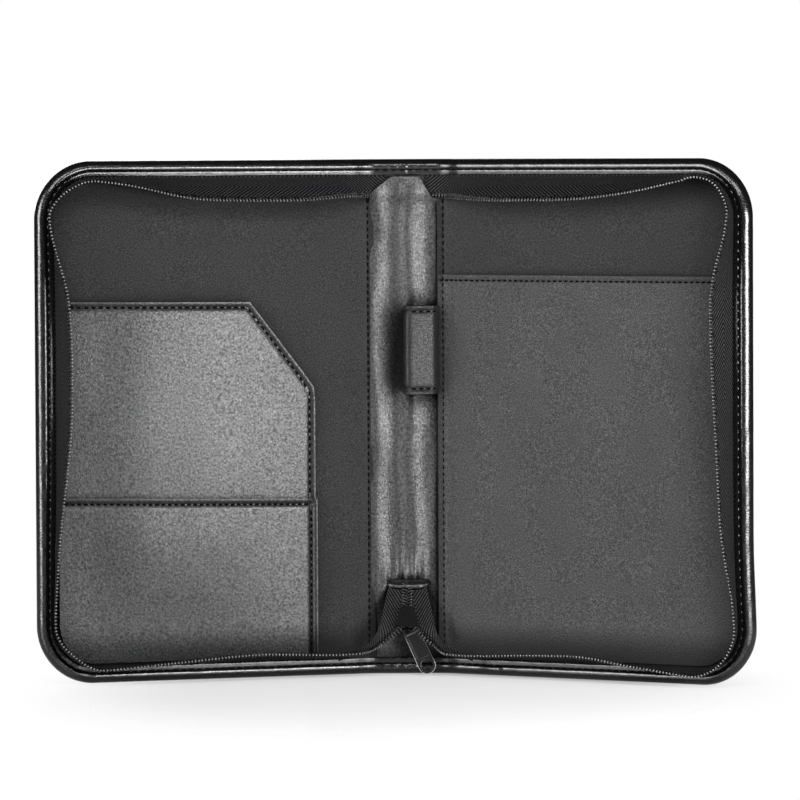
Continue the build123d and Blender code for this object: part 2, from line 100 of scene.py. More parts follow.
# How thick the sheets are
COVER_LEATHER = 0.9 * MM
POCKET_LEATHER = 0.9 * MM
STRIP_LEATHER = 0.8 * MM
LINING_CLOTH = 0.55 * MM
NOTEPAD_CLOTH = 0.6 * MM
TAPE_CLOTH = 0.45 * MM

# From stitch to stitch along each seam
HEM_STITCH = 3.2 * MM
DOCUMENT_STITCH = 3.3 * MM
CARD_STITCH = 3.0 * MM
NOTEPAD_STITCH = 2.9 * MM
LOOP_STITCH = 2.9 * MM
BINDING_STITCH = 3.85 * MM

# A turned edge's row of stitches, from the edge
EDGE_SEAM = 2.6 * MM
# how far the pockets reach past their sewn edges, below the zip tape
POCKET_UNDER = 1.2 * MM
NOTEPAD_UNDER = 1.6 * MM
# how far the card pocket reaches past the document pocket's edge beside the spine
CARD_OVERHANG = 0.4 * MM
# how far the lower right corner flares outwards
CORNER_FLARE = 1.6 * MM

# The zip's tail: it bends out of the slit at this height and level and leans down towards the reader
TAIL_HEIGHT = 44.2 * MM
TAIL_LEVEL = 0.15 * MM
TAIL_LEAN = math.radians(35)
# the pull's bar, its lean to the right in the slider's plane and the way down to its hole
PULL_PIVOT = Vector(JOINTS["pull_swing"]["pos_m"])
PULL_TILT = math.radians(25)
PULL_HOLE_DOWN = 21.2 * MM

# The binding's front, from its inner edge to the outer one: share of its width, and level in millimetres
BINDING_PROFILE = (
    (1, -1.2), (1, -0.25), (0.985, -0.04), (0.95, 0), (0.85, 0.02), (0.75, 0.02), (0.712, -0.08),
    (0.692, -0.36), (0.668, -0.12), (0.615, 0.22), (0.53, 0.5), (0.42, 0.52), (0.3, 0.22), (0.18, -0.45),
    (0.09, -1.3),
)
BINDING_SEAM = 0.692
# how much wider the binding is along the middle of its side, and how far the tape's bend moves in there
BINDING_SWELL = {"left": 0.12, "right": 0.07}
TAPE_SWAY = {"left": 0.9 * MM, "right": 0.5 * MM}

# How far the zip tape leans from the cover as it runs from the foot, round the outer edge, to the head:
# part of the way along each stretch, and the lean there in degrees. The end stretch goes by millimetres
# from the spine's middle
LEANS = {
    "left": {
        "foot": ((0, 82), (0.35, 76), (0.7, 86), (1, 95)),
        "foot_corner": ((0, 95), (0.5, 92), (1, 109)),
        "side": ((0, 109), (0.25, 99), (0.5, 80), (0.69, 79), (0.82, 85), (0.92, 105), (1, 116)),
        "head_corner": ((0, 118), (0.5, 96), (1, 85)),
        "head": ((0, 85), (0.09, 82), (0.18, 74), (0.27, 65), (0.36, 55), (0.45, 50), (0.6, 48), (0.8, 47),
                 (0.9, 47.5), (1, 44)),
        "end": ((9, 0), (15, 8), (22, 32), (32, 41), (42, 43)),
    },
    "right": {
        "foot": ((0, 84), (0.3, 78), (0.55, 76), (0.72, 88), (0.86, 94), (1, 102)),
        "foot_corner": ((0, 102), (0.5, 108), (1, 114)),
        "side": ((0, 114), (0.06, 112.5), (0.12, 107), (0.17, 102), (0.22, 97), (0.3, 93.5), (0.4, 91),
                 (0.6, 82), (0.76, 77), (0.84, 79), (0.94, 101), (1, 109)),
        "head_corner": ((0, 109), (0.5, 106), (1, 84)),
        "head": ((0, 84), (0.1, 75), (0.22, 64), (0.32, 58.5), (0.41, 52), (0.51, 47.5), (0.6, 46),
                 (0.8, 45.5), (0.9, 44), (1, 37)),
        "end": ((9, 0), (15, 4), (22, 13), (32, 28), (42, 36)),
    },
}
# stations along the zip, and over how many of them its lean is evened out
ZIP_STEP = 1.6 * MM
LEAN_SPAN = 13

# Where the close stations near a sheet's edges stand, from the edge
NEAR_EDGE = np.array([0, 0.25, 0.6, 1.1, 1.6, 2.1, 2.5, 2.9, 3.4, 4.2, 5.5, 7.5, 10]) * MM
# and those across a lining's hem
NEAR_HEM = np.array([0, 0.3, 0.8, 1.4, 2, 2.6, 3, 3.3, 3.6, 4, 4.6, 5.5]) * MM

# The soft lights: place, what they point at, width, height and power
SOFTBOXES = {
    "softbox_above": ((0.0, -1.05, 0.95), (0, -0.03, 0.15), 1.2, 0.14, 7),
    "softbox_right": ((0.47, -0.555, 0.16), (-0.09, -0.03, 0.12), 0.40, 0.2, 6.4),
    "softbox_left": ((-1.05, -0.81, 0.32), (0.08, -0.03, 0.12), 0.55, 0.8, 17.5),
    "softbox_front": ((-0.1, -1.45, 0.9), (0, 0, 0.12), 0.5, 0.2, 3.2),
    "softbox_back": ((-0.5, 1.3, 0.55), (0, 0, 0.1), 0.9, 0.6, 7),
}
# the camera: where it stands, what it points at, its roll and its lens on a 36 mm wide sensor
EYE = Vector((0.0465, -2.9007, 0.2466))
TARGET = Vector((-0.00245, -0.040, 0.12826))
ROLL = -0.00464
LENS, SENSOR = 283.0, 36


class PadfolioSizes(bpy.types.PropertyGroup):
    """Sizes of the folder's cloth, leather and zip."""

    cover_width: bpy.props.FloatProperty(
        name="Cover width", description="One cover, from its fold to its outer edge",
        default=0.1585, unit="LENGTH",
    )
    cover_height: bpy.props.FloatProperty(
        name="Cover height", description="From the lower edge to the upper edge",
        default=round(float(CAD_BOX[1][2] - CAD_BOX[0][2]), 4), unit="LENGTH",
    )
    corner_radius: bpy.props.FloatProperty(
        name="Corner radius", description="Round of the covers' outer corners",
        default=0.027, unit="LENGTH",
    )
    spine_width: bpy.props.FloatProperty(
        name="Spine width", description="Between the two folds",
        default=2 * JOINTS["right_fold"]["pos_m"][0], unit="LENGTH",
    )
    left_fold: bpy.props.FloatProperty(
        name="Left fold", description="How far the left cover is folded forwards",
        default=math.radians(-JOINTS["left_fold"]["range_deg"][0]), unit="ROTATION",
    )
    right_fold: bpy.props.FloatProperty(
        name="Right fold", description="How far the right cover is folded forwards",
        default=math.radians(-JOINTS["right_fold"]["range_deg"][0]), unit="ROTATION",
    )
    fold_reach: bpy.props.FloatProperty(
        name="Fold reach", description="How far each fold's round reaches to either side",
        default=0.008, unit="LENGTH",
    )
    binding_width: bpy.props.FloatProperty(
        name="Binding width", description="Binding strip on the front, from the outer edge",
        default=0.0075, unit="LENGTH",
    )
    tape_width: bpy.props.FloatProperty(
        name="Free tape width", description="Zip tape from its bend to its toothed edge",
        default=0.0145, unit="LENGTH",
    )
    tape_inset: bpy.props.FloatProperty(
        name="Tape inset", description="The tape's bend, from the outer edge",
        default=0.0081, unit="LENGTH",
    )
    tooth_pitch: bpy.props.FloatProperty(
        name="Tooth pitch", description="From one turn of the coil to the next",
        default=0.00162, unit="LENGTH",
    )
    pocket_inset: bpy.props.FloatProperty(
        name="Pocket inset", description="The pockets' sewn edges, from the outer edge",
        default=0.0105, unit="LENGTH",
    )
    document_pocket_height: bpy.props.FloatProperty(
        name="Document pocket height", description="Upper edge of the large left pocket",
        default=0.1725, unit="LENGTH",
    )
    card_pocket_height: bpy.props.FloatProperty(
        name="Card pocket height", description="Upper edge of the small left pocket",
        default=0.082, unit="LENGTH",
    )
    notepad_pocket_height: bpy.props.FloatProperty(
        name="Notepad pocket height", description="Upper edge of the right pocket",
        default=0.1845, unit="LENGTH",
    )
    thread_radius: bpy.props.FloatProperty(
        name="Thread radius", description="Half the sewing thread's thickness",
        default=0.00042, unit="LENGTH",
    )


class PadfolioColours(bpy.types.PropertyGroup):
    """Colours of the folder's materials."""

    leather: bpy.props.FloatVectorProperty(
        name="Pocket leather", description="Grained leatherette of the pockets, strip and covers",
        default=(0.014, 0.014, 0.0145, 1), subtype="COLOR", size=4, min=0, max=1,
    )
    binding: bpy.props.FloatVectorProperty(
        name="Binding leather", description="Smooth glossy strip round the edges",
        default=(0.003, 0.003, 0.0033, 1), subtype="COLOR", size=4, min=0, max=1,
    )
    lining: bpy.props.FloatVectorProperty(
        name="Lining cloth", description="Woven cloth inside the covers",
        default=(0.027, 0.027, 0.028, 1), subtype="COLOR", size=4, min=0, max=1,
    )
    pocket_cloth: bpy.props.FloatVectorProperty(
        name="Notepad pocket cloth", description="Lining cloth of the notepad pocket, a little lighter",
        default=(0.052, 0.052, 0.0535, 1), subtype="COLOR", size=4, min=0, max=1,
    )
    tape: bpy.props.FloatVectorProperty(
        name="Zip tape", description="Herringbone tape of the zip",
        default=(0.006, 0.006, 0.0063, 1), subtype="COLOR", size=4, min=0, max=1,
    )
    coil: bpy.props.FloatVectorProperty(
        name="Zip coil", description="Plastic teeth of the zip",
        default=(0.004, 0.004, 0.0045, 1), subtype="COLOR", size=4, min=0, max=1,
    )
    # the coil crowns' light grey is a painted highlight on each tooth
    crown: bpy.props.FloatVectorProperty(
        name="Coil crowns", description="Rubbed crowns of the zip's teeth",
        default=(0.28, 0.28, 0.29, 1), subtype="COLOR", size=4, min=0, max=1,
    )
    # a fainter painted highlight on the closed tail's teeth
    tail_painted_glint: bpy.props.FloatVectorProperty(
        name="Tail crowns", description="Crowns of the closed tail's teeth, less rubbed",
        default=(0.035, 0.035, 0.036, 1), subtype="COLOR", size=4, min=0, max=1,
    )
    metal: bpy.props.FloatVectorProperty(
        name="Slider paint", description="Black paint on the die-cast slider and pull",
        default=(0.0055, 0.0055, 0.0058, 1), subtype="COLOR", size=4, min=0, max=1,
    )
    # a painted highlight: light metal colour along some edges of the slider and the pull
    edge: bpy.props.FloatVectorProperty(
        name="Slider edges", description="Metal where the paint is rubbed off along the edges",
        default=(0.55, 0.55, 0.56, 1), subtype="COLOR", size=4, min=0, max=1,
    )
    thread: bpy.props.FloatVectorProperty(
        name="Thread", description="Sewing thread",
        default=(0.002, 0.002, 0.0022, 1), subtype="COLOR", size=4, min=0, max=1,
    )
    floor: bpy.props.FloatVectorProperty(
        name="Floor", description="Studio floor and background",
        default=(0.66, 0.66, 0.66, 1), subtype="COLOR", size=4, min=0, max=1,
    )


def sizes():
    return bpy.context.scene.padfolio_sizes


def colours():
    return bpy.context.scene.padfolio_colours


# Shape helpers


def far_edge(inset=0.0):
    """The covers' outer edge, or a line that far inside it, from the spine's middle."""
    return sizes().spine_width / 2 + sizes().cover_width - inset


def ease(t):
    """0 below 0, 1 above 1, and a smooth step between."""
    t = np.clip(t, 0, 1)
    return t * t * (3 - 2 * t)


def bump(value, middle, reach):
    """A smooth hump of height 1."""
    return np.exp(-(((value - middle) / reach) ** 2))


def uneven(x, y, scale, seed):
    """Soft hand-made unevenness, about -1 to 1, from a few crossed waves of about the given length."""
    chance = np.random.default_rng(seed)
    total = 0
    for _ in range(7):
        turn = chance.uniform(0, 2 * math.pi)
        pace = chance.uniform(0.6, 1.7)
        start = chance.uniform(0, 2 * math.pi)
        total = total + np.sin(2 * math.pi * pace / scale * (x * math.cos(turn) + y * math.sin(turn)) + start)
    return total / 4


def cubic(t):
    """A cubic's weights of its start, the way out of it, its end and the way into it."""
    return 2 * t**3 - 3 * t**2 + 1, t**3 - 2 * t**2 + t, 3 * t**2 - 2 * t**3, t**3 - t**2


def cubic_slope(t):
    """How fast those weights change."""
    return 6 * t**2 - 6 * t, 3 * t**2 - 4 * t + 1, 6 * t - 6 * t**2, 3 * t**2 - 2 * t


def to_row(flat):
    """Points of the flat open folder (across, up, out) as points of the row frame, both folds rounded."""
    size = sizes()
    flat = np.asarray(flat, float)
    x, y, z = flat[..., 0], flat[..., 1], flat[..., 2]
    x = x + CORNER_FLARE * ease((70 * MM - y) / (54 * MM)) * ease((x - 100 * MM) / (50 * MM))
    half, reach = size.spine_width / 2, size.fold_reach
    turn = np.where(x < 0, size.left_fold, size.right_fold)
    cos, sin = np.cos(turn), np.sin(turn)
    along = np.abs(x) - half
    t = np.clip((along + reach) / (2 * reach), 0, 1)
    start, pull = half - reach, 2 * reach
    end_across, end_out = half + reach * cos, reach * sin
    h0, h1, h2, h3 = cubic(t)
    d0, d1, d2, d3 = cubic_slope(t)
    across = h0 * start + h1 * pull + h2 * end_across + h3 * pull * cos
    out = h2 * end_out + h3 * pull * sin
    slope_across = d0 * start + d1 * pull + d2 * end_across + d3 * pull * cos
    slope_out = d2 * end_out + d3 * pull * sin
    length = np.hypot(slope_across, slope_out)
    slope_across, slope_out = slope_across / length, slope_out / length
    past = np.where(along > reach, along - reach, np.where(along < -reach, along + reach, 0))
    across = across + past * slope_across - z * slope_out
    out = out + past * slope_out + z * slope_across
    return np.stack([np.where(x < 0, -across, across), -out, y], -1)


def way_along(points):
    """The way along a line to each of its points."""
    return np.concatenate([[0], np.cumsum(np.linalg.norm(np.diff(points, axis=0), axis=1))])


def fine_steps(start, end, step):
    """Stations from start to end: close together near both ends, a step apart between."""
    near = NEAR_EDGE[NEAR_EDGE < (end - start) / 2 - 0.5 * MM]
    count = max(2, int((end - start - 2 * near[-1]) / step) + 1)
    middle = np.linspace(start + near[-1], end - near[-1], count)
    return np.unique(np.round(np.concatenate([start + near, middle, end - near]), 7))


def grid_faces(rows, columns, closed=False):
    """Quads of a grid of points; closed joins the last column to the first."""
    i, j = np.meshgrid(np.arange(rows - 1), np.arange(columns if closed else columns - 1), indexing="ij")
    n = (j + 1) % columns
    quads = np.stack([i * columns + j, i * columns + n, (i + 1) * columns + n, (i + 1) * columns + j], -1)
    return quads.reshape(-1, 4)


def tube_faces(rings, sides):
    """Faces of a tube of rings of points, closed at both ends."""
    ends = [list(range(sides))[::-1], [(rings - 1) * sides + k for k in range(sides)]]
    return grid_faces(rings, sides, True).tolist() + ends


def grid_area(points):
    """Area of a grid of points."""
    a, b = points[1:, 1:] - points[:-1, :-1], points[1:, :-1] - points[:-1, 1:]
    return float(np.linalg.norm(np.cross(a, b), axis=-1).sum() / 2)


def cut_area(area, wide, high):
    """A sheet's area as measured, and at most just under that of the flat piece it is cut from."""
    return min(area, 0.999 * wide * high)


def add_piece(name, points, faces, material, grain=None):
    """A mesh object; grain is where each point lies on the flat material, for its weave or grain."""
    points = np.asarray(points, float).reshape(-1, 3)
    mesh = bpy.data.meshes.new(name)
    mesh.from_pydata(points.tolist(), [], [list(map(int, face)) for face in faces])
    mesh.validate()
    grain = points if grain is None else np.asarray(grain, float).reshape(-1, 3)
    layer = mesh.attributes.new("grain", "FLOAT_VECTOR", "POINT")
    layer.data.foreach_set("vector", grain.astype(np.float32).ravel())
    mesh.polygons.foreach_set("use_smooth", [True] * len(mesh.polygons))
    mesh.materials.append(material)
    piece = bpy.data.objects.new(name, mesh)
    bpy.context.scene.collection.objects.link(piece)
    return piece


def keep_result(piece):
    """Makes what a piece's modifiers give its own mesh."""
    bpy.context.view_layer.update()
    mesh = bpy.data.meshes.new_from_object(piece.evaluated_get(bpy.context.evaluated_depsgraph_get()))
    piece.modifiers.clear()
    piece.data = mesh
    mesh.name = piece.name
    mesh.polygons.foreach_set("use_smooth", [True] * len(mesh.polygons))


def soften_edges(piece, width, angle):
    """Rounds the edges of a piece that are sharper than an angle, in degrees."""
    edge = piece.modifiers.new("softened edges", "BEVEL")
    edge.width, edge.segments = width, 2
    edge.limit_method, edge.angle_limit = "ANGLE", math.radians(angle)
    return edge


def thicken(piece, thickness, rounding=0.2 * MM):
    """Gives a sheet its thickness behind its face and softly rounded edges, and keeps that as its mesh."""
    solid = piece.modifiers.new("thickness", "SOLIDIFY")
    solid.thickness, solid.offset = thickness, -1
    soften_edges(piece, rounding, 50)
    keep_result(piece)


def page_sheet(name, side, rows, inner, outer, level, material, columns, facing=1, rise=None):
    """A sheet on one half of the open folder. Each row runs from inner(y) to outer(y), measured from the
    spine's middle, at level(across, y), and is drawn up by rise(across, y). Gives the piece and its area."""
    y = rows[:, None]
    low, high = inner(y), outer(y)
    across = low + (high - low) * columns[None, :]
    flat = np.stack([side * across, np.broadcast_to(y, across.shape), level(across, y)], -1)
    if rise is not None:
        flat[..., 1] += rise(across, y)
    if side * facing < 0:
        flat = flat[:, ::-1]
    points = to_row(flat)
    return add_piece(name, points, grid_faces(*points.shape[:2]), material, flat), grid_area(points)


def rounded_reach(y, low, high, far, radius):
    """How far out a sheet with two rounded outer corners reaches at a height."""
    inside = np.maximum(0, np.maximum(low + radius - y, y - high + radius))
    return far - radius + np.sqrt(np.maximum(radius**2 - inside**2, 0))


def cross_fold(piece, side):
    """A piece that runs from the spine on to a cover, with its place baked into its mesh."""
    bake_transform(piece)


def edge_line(start, step):
    """Stations along the folder's edge, from the foot of the spine round the outer edge to its head: places,
    directions inwards, and each one's stretch with the share of it passed. Start is how far from the
    spine's middle the line begins and ends."""
    size = sizes()
    far, high, radius = far_edge(), size.cover_height, size.corner_radius
    flat_run, upright = far - radius - start, high - 2 * radius
    # twice the length of a corner, for stations twice as close
    corner_run = radius * math.pi
    stations, names = [], []

    def run(name, length, place):
        count = max(3, int(length / step) + 1)
        for t in np.linspace(0, 1, count)[(1 if stations else 0):]:
            stations.append(place(t))
            names.append((name, t))

    def corner(x, y, turn):
        return (x + radius * math.cos(turn), y + radius * math.sin(turn), -math.cos(turn), -math.sin(turn))

    run("foot", flat_run, lambda t: (start + t * flat_run, 0, 0, 1))
    run("foot_corner", corner_run, lambda t: corner(far - radius, radius, -math.pi / 2 * (1 - t)))
    run("side", upright, lambda t: (far, radius + t * upright, -1, 0))
    run("head_corner", corner_run, lambda t: corner(far - radius, high - radius, math.pi / 2 * t))
    run("head", flat_run, lambda t: (far - radius - t * flat_run, high, 0, -1))
    stations = np.array(stations)
    return stations[:, :2], stations[:, 2:], names


def mid_side(place, inwards):
    """1 along the middle of a cover's upright outer edge, and 0 towards its corners and past them."""
    y = place[:, 1]
    middle = ease((y - 40 * MM) / (60 * MM)) * ease((sizes().cover_height - 14 * MM - y) / (50 * MM))
    return middle * np.abs(inwards[:, 0])


# Material helpers


class Shader:
    """Builds the nodes of a material or a world."""

    def __init__(self, owner):
        self.owner = owner
        owner.use_nodes = True
        self.tree = owner.node_tree
        self.tree.nodes.clear()

    def node(self, kind, inputs=None, output=0, **settings):
        """Adds a node, sets or links its inputs, and returns one of its outputs."""
        made = self.tree.nodes.new(kind)
        for key, value in settings.items():
            setattr(made, key, value)
        for key, value in (inputs or {}).items():
            if isinstance(value, bpy.types.NodeSocket):
                self.tree.links.new(value, made.inputs[key])
            else:
                made.inputs[key].default_value = value
        return made.outputs[output] if len(made.outputs) else None

    def math(self, operation, a, b=0.0):
        return self.node("ShaderNodeMath", {0: a, 1: b}, operation=operation)

    def times(self, first, *others):
        """The product of some values."""
        for other in others:
            first = self.math("MULTIPLY", first, other)
        return first

    def most(self, first, *others):
        """The greatest of some values."""
        for other in others:
            first = self.math("MAXIMUM", first, other)
        return first

    def vector(self, operation, a, b, output=0):
        return self.node("ShaderNodeVectorMath", {0: a, 1: b}, output, operation=operation)

    def split(self, where):
        """A place's three parts."""
        made = self.tree.nodes.new("ShaderNodeSeparateXYZ")
        self.tree.links.new(where, made.inputs[0])
        return tuple(made.outputs)

    def grain(self):
        """Where a point lies on the flat material."""
        return self.node("ShaderNodeAttribute", output="Vector", attribute_name="grain")

    def place(self):
        """Where a point lies in its object."""
        return self.node("ShaderNodeTexCoord", output="Object")

    def ray(self, kind):
        """1 for one kind of light ray, 0 for the others."""
        return self.node("ShaderNodeLightPath", output=f"Is {kind} Ray")

    def noise(self, where, size, detail=2.0, roughness=0.5):
        inputs = {"Vector": where, "Scale": 1 / size, "Detail": detail, "Roughness": roughness}
        return self.node("ShaderNodeTexNoise", inputs)

    def drifted(self, where, scale, amount):
        """A place that noise of a scale moves about by an amount."""
        noise = self.node("ShaderNodeTexNoise", {"Vector": where, "Scale": scale}, "Color")
        shift = self.node("ShaderNodeVectorMath", {0: noise, "Scale": amount}, operation="SCALE")
        return self.vector("ADD", where, shift)

    def wave(self, value, length):
        """A wave of the given length, from -1 to 1."""
        return self.math("SINE", self.math("MULTIPLY", value, 2 * math.pi / length))

    def ripple(self, value, length):
        """A wave of the given length, from 0 to 1."""
        return self.math("ADD", self.math("MULTIPLY", self.wave(value, length), 0.5), 0.5)

    def remap(self, value, start, end, low=0.0, high=1.0, kind="LINEAR"):
        """A value that goes from start to end, as one that goes from low to high."""
        ends = {"Value": value, "From Min": start, "From Max": end, "To Min": low, "To Max": high}
        return self.node("ShaderNodeMapRange", ends, interpolation_type=kind)

    def range(self, value, low, high):
        """A 0 to 1 value as one from low to high."""
        return self.remap(value, 0.0, 1.0, low, high)

    def vary(self, noise, low, high):
        """Noise, which keeps to the middle of its range, spread from low to high."""
        return self.remap(noise, 0.3, 0.7, low, high)

    def mix(self, factor, a, b, **settings):
        """Colour a, and more of colour b as the factor goes from 0 to 1."""
        return self.node("ShaderNodeMix", {"Factor": factor, 6: a, 7: b}, 2, data_type="RGBA", **settings)

    def shade(self, colour, factor):
        """A colour made lighter or darker."""
        return self.mix(1.0, colour, factor, blend_type="MULTIPLY")

    def bumped(self, height, strength, distance, under=None):
        inputs = {"Height": height, "Strength": strength, "Distance": distance}
        if under is not None:
            inputs["Normal"] = under
        return self.node("ShaderNodeBump", inputs)

    def surface(self, shader):
        """Ends a material with its surface."""
        self.node("ShaderNodeOutputMaterial", {"Surface": shader})
        return self.owner

    def finish(self, **inputs):
        """Ends a material with a principled surface of these inputs."""
        named = {key.replace("_", " "): value for key, value in inputs.items()}
        return self.surface(self.node("ShaderNodeBsdfPrincipled", named))


def made_once(maker):
    """Makes the material of a name the first time, and finds it again after that."""

    def find(name, *about, **more):
        found = bpy.data.materials.get(name)
        return found or maker(Shader(bpy.data.materials.new(name)), *about, **more)

    return find


def near_shade(s, reach, low, high, least):
    """Painted shade, darker where another piece stands within reach: least at an open view of low, and 1 at
    high.
    """
    near = s.node("ShaderNodeAmbientOcclusion", {"Distance": reach}, "AO", samples=4)
    return s.remap(near, low, high, least)


def fold_shade(s, where):
    """Painted shade: darker close to a standing tape or hem, towards the foot, and on the hem beside the
    spine.
    """
    across, up, _ = s.split(where)
    fold = near_shade(s, 16 * MM, 0.5, 0.93, 0.35)
    foot = s.remap(up, 13 * MM, 27 * MM, 0.5, kind="SMOOTHSTEP")
    beside = s.remap(s.math("ABSOLUTE", across), 17.2 * MM, 18.8 * MM, 0.6)
    return s.times(fold, foot, beside)


def loop_shade(s, where):
    """Painted shadow: darker beside the pen loop."""
    return near_shade(s, 14 * MM, 0.74, 0.96, 0.06)


@made_once
def leather(s, colour, pebble, rough, depth, gloss, coat=0.0, speckle=0.6, shade=None):
    """Grained leatherette: pebbles with fine creases between, over soft unevenness."""
    where = s.grain()
    drift = s.drifted(where, 0.5 / pebble, pebble * 0.8)
    cells = s.node("ShaderNodeTexVoronoi", {"Vector": drift, "Scale": 1 / pebble}, feature="DISTANCE_TO_EDGE")
    pebbles = s.math("POWER", s.math("MINIMUM", s.math("MULTIPLY", cells, 2.4), 1.0), 0.7)
    cloud = s.noise(where, 18 * MM, 3.0)
    blots = s.noise(where, 4.5 * MM, 3.0)
    fine = s.noise(where, pebble * 0.35, 3.0, 0.6)
    tone = s.times(s.vary(cloud, 0.93, 1.07), s.range(pebbles, 0.7, 1.06))
    soft = s.bumped(blots, 0.02, 0.3 * MM, s.bumped(cloud, 0.06, 0.8 * MM))
    creased = s.bumped(pebbles, depth, 0.3 * MM, soft)
    shine = s.vary(s.noise(where, 1.1 * MM, 2.0, 0.6), gloss * (1 - speckle), gloss * (1 + speckle))
    # a given shade is painted shade, put into both the colour and the sheen
    if shade:
        tone, shine = (s.times(value, shade(s, where)) for value in (tone, shine))
    return s.finish(
        Base_Color=s.shade(colour, tone),
        Roughness=s.math("ADD", s.vary(blots, rough - 0.015, rough + 0.015), s.range(pebbles, 0.08, 0.0)),
        Normal=s.bumped(fine, depth, 0.12 * MM, creased),
        Specular_IOR_Level=shine,
        Coat_Weight=coat,
        Coat_Roughness=0.15,
    )


@made_once
def woven_cloth(s, colour, pitch):
    """Plain weave: warp and weft threads pass over each other in turn, with slubs and lint."""
    where = s.grain()
    across, up, _ = s.split(s.drifted(where, 220.0, pitch * 0.5))
    warp, weft = s.wave(across, 2 * pitch), s.wave(up, 2 * pitch)
    over = s.math("GREATER_THAN", s.times(warp, weft), 0.0)
    warp_height = s.times(s.math("ABSOLUTE", warp), over)
    weft_height = s.times(s.math("ABSOLUTE", weft), s.math("SUBTRACT", 1.0, over))
    height = s.math("ADD", warp_height, weft_height)
    stretches = ((1.0, 0.5, 1.0), (0.5, 1.0, 1.0))
    slubs, slubs_across = (s.noise(s.vector("MULTIPLY", where, way), 0.36 * MM) for way in stretches)
    speckle = s.times(s.vary(slubs, 0.35, 1.65), s.vary(slubs_across, 0.35, 1.65))
    cloud = s.vary(s.noise(where, 30 * MM), 0.94, 1.06)
    # fold_shade paints shade into the cloth's colour
    tone = s.times(speckle, s.range(height, 0.6, 1.15), cloud, fold_shade(s, where))
    return s.finish(
        Base_Color=s.shade(colour, tone),
        Roughness=s.range(slubs_across, 0.75, 0.95),
        Normal=s.bumped(height, 0.5, 0.18 * MM, s.bumped(slubs, 0.3, 0.2 * MM)),
        Specular_IOR_Level=0.2,
        Sheen_Weight=0.04,
        Sheen_Roughness=0.5,
    )


@made_once
def herringbone_tape(s, colour):
    """Zip tape: slanting ribs that turn back along the tape's middle."""
    half_width, rib, slant = 7 * MM, 2.1 * MM, 1.35
    where = s.grain()
    across, along, _ = s.split(where)
    zigzag = s.math("PINGPONG", across, half_width)
    ribs = s.ripple(s.math("SUBTRACT", along, s.times(zigzag, slant)), rib)
    column = s.times(zigzag, 1 / half_width)
    lint = s.noise(where, 0.7 * MM)
    tone = s.times(s.range(s.math("POWER", ribs, 2.0), 0.05, 6.5), s.vary(lint, 0.3, 1.7))
    return s.finish(
        Base_Color=s.shade(colour, tone),
        Roughness=s.range(lint, 0.45, 0.7),
        Normal=s.bumped(s.math("ADD", ribs, s.times(column, 0.4)), 0.55, 0.2 * MM),
        Specular_IOR_Level=0.05,
    )


@made_once
def gloss_paint(s, colour, rough, ripple):
    """Paint of slightly uneven gloss."""
    where = s.place()
    cloud, fine = s.noise(where, 4 * MM), s.noise(where, 0.6 * MM)
    return s.finish(
        Base_Color=s.shade(colour, s.range(cloud, 0.8, 1.2)),
        Roughness=s.range(fine, rough - 0.06, rough + 0.08),
        Normal=s.bumped(fine, ripple, 0.08 * MM),
    )


@made_once
def coil_with_painted_glints(s, colour, crown):
    """Nylon coil: glossy black turns with a painted highlight, a light spot, on each crown. The grain is the
    place in a turn's own bar.
    """
    along, around, high = s.split(s.grain())
    around, high = s.math("ABSOLUTE", around), s.math("ABSOLUTE", high)

    def spot(middle, strength):
        past = s.math("ABSOLUTE", s.math("SUBTRACT", along, middle))
        off = s.most(s.times(past, 2.2), around, s.times(high, 1.3))
        return s.remap(off, 0.15, 0.6, strength, 0.0)

    painted_glint = s.most(spot(0.9, 1.0), spot(-0.5, 0.2))
    fine = s.noise(s.place(), 2 * MM)
    return s.finish(
        Base_Color=s.shade(s.mix(painted_glint, colour, crown), s.vary(fine, 0.6, 1.4)),
        Roughness=s.range(fine, 0.2, 0.35),
        Coat_Weight=0.2,
        Coat_Roughness=0.15,
    )


@made_once
def twisted_thread(s, colour):
    """Sewing thread: a two-ply twist along its length."""
    along, around, _ = s.split(s.grain())
    twist = s.ripple(s.math("ADD", along, around), 0.6 * MM)
    return s.finish(
        Base_Color=s.shade(colour, s.range(twist, 0.6, 1.3)),
        Roughness=s.range(twist, 0.6, 0.8),
        Normal=s.bumped(twist, 0.4, 0.1 * MM),
        Specular_IOR_Level=0.05,
    )


@made_once
def edge_painted_highlight(s, node, lean, tilt, glint_places):
    """Black paint with painted highlights: a light metal colour along some of a casting's edges, found by the
    way across and down it from the pull's bar."""
    back = node.matrix_world.inverted()
    down, side = Vector((0, -math.sin(lean), -math.cos(lean))), Vector((1, 0, 0))
    ways = (math.cos(tilt) * side - math.sin(tilt) * down, math.cos(tilt) * down + math.sin(tilt) * side)
    where = s.place()
    past = s.vector("SUBTRACT", where, back @ PULL_PIVOT)
    painted_glint = glint_places(s, *(s.vector("DOT_PRODUCT", past, back.to_3x3() @ way, "Value") for way in ways))
    fine = s.noise(where, 0.8 * MM)
    return s.finish(
        Base_Color=s.shade(s.mix(painted_glint, colours().metal, colours().edge), s.vary(fine, 0.7, 1.3)),
        Roughness=s.range(fine, 0.3, 0.45),
        Metallic=s.times(painted_glint, 0.5),
    )


def step_up(s, value, low, high):
    """A value that goes from 0 to 1 as another one goes from low to high, in millimetres."""
    return s.remap(value, low * MM, high * MM)


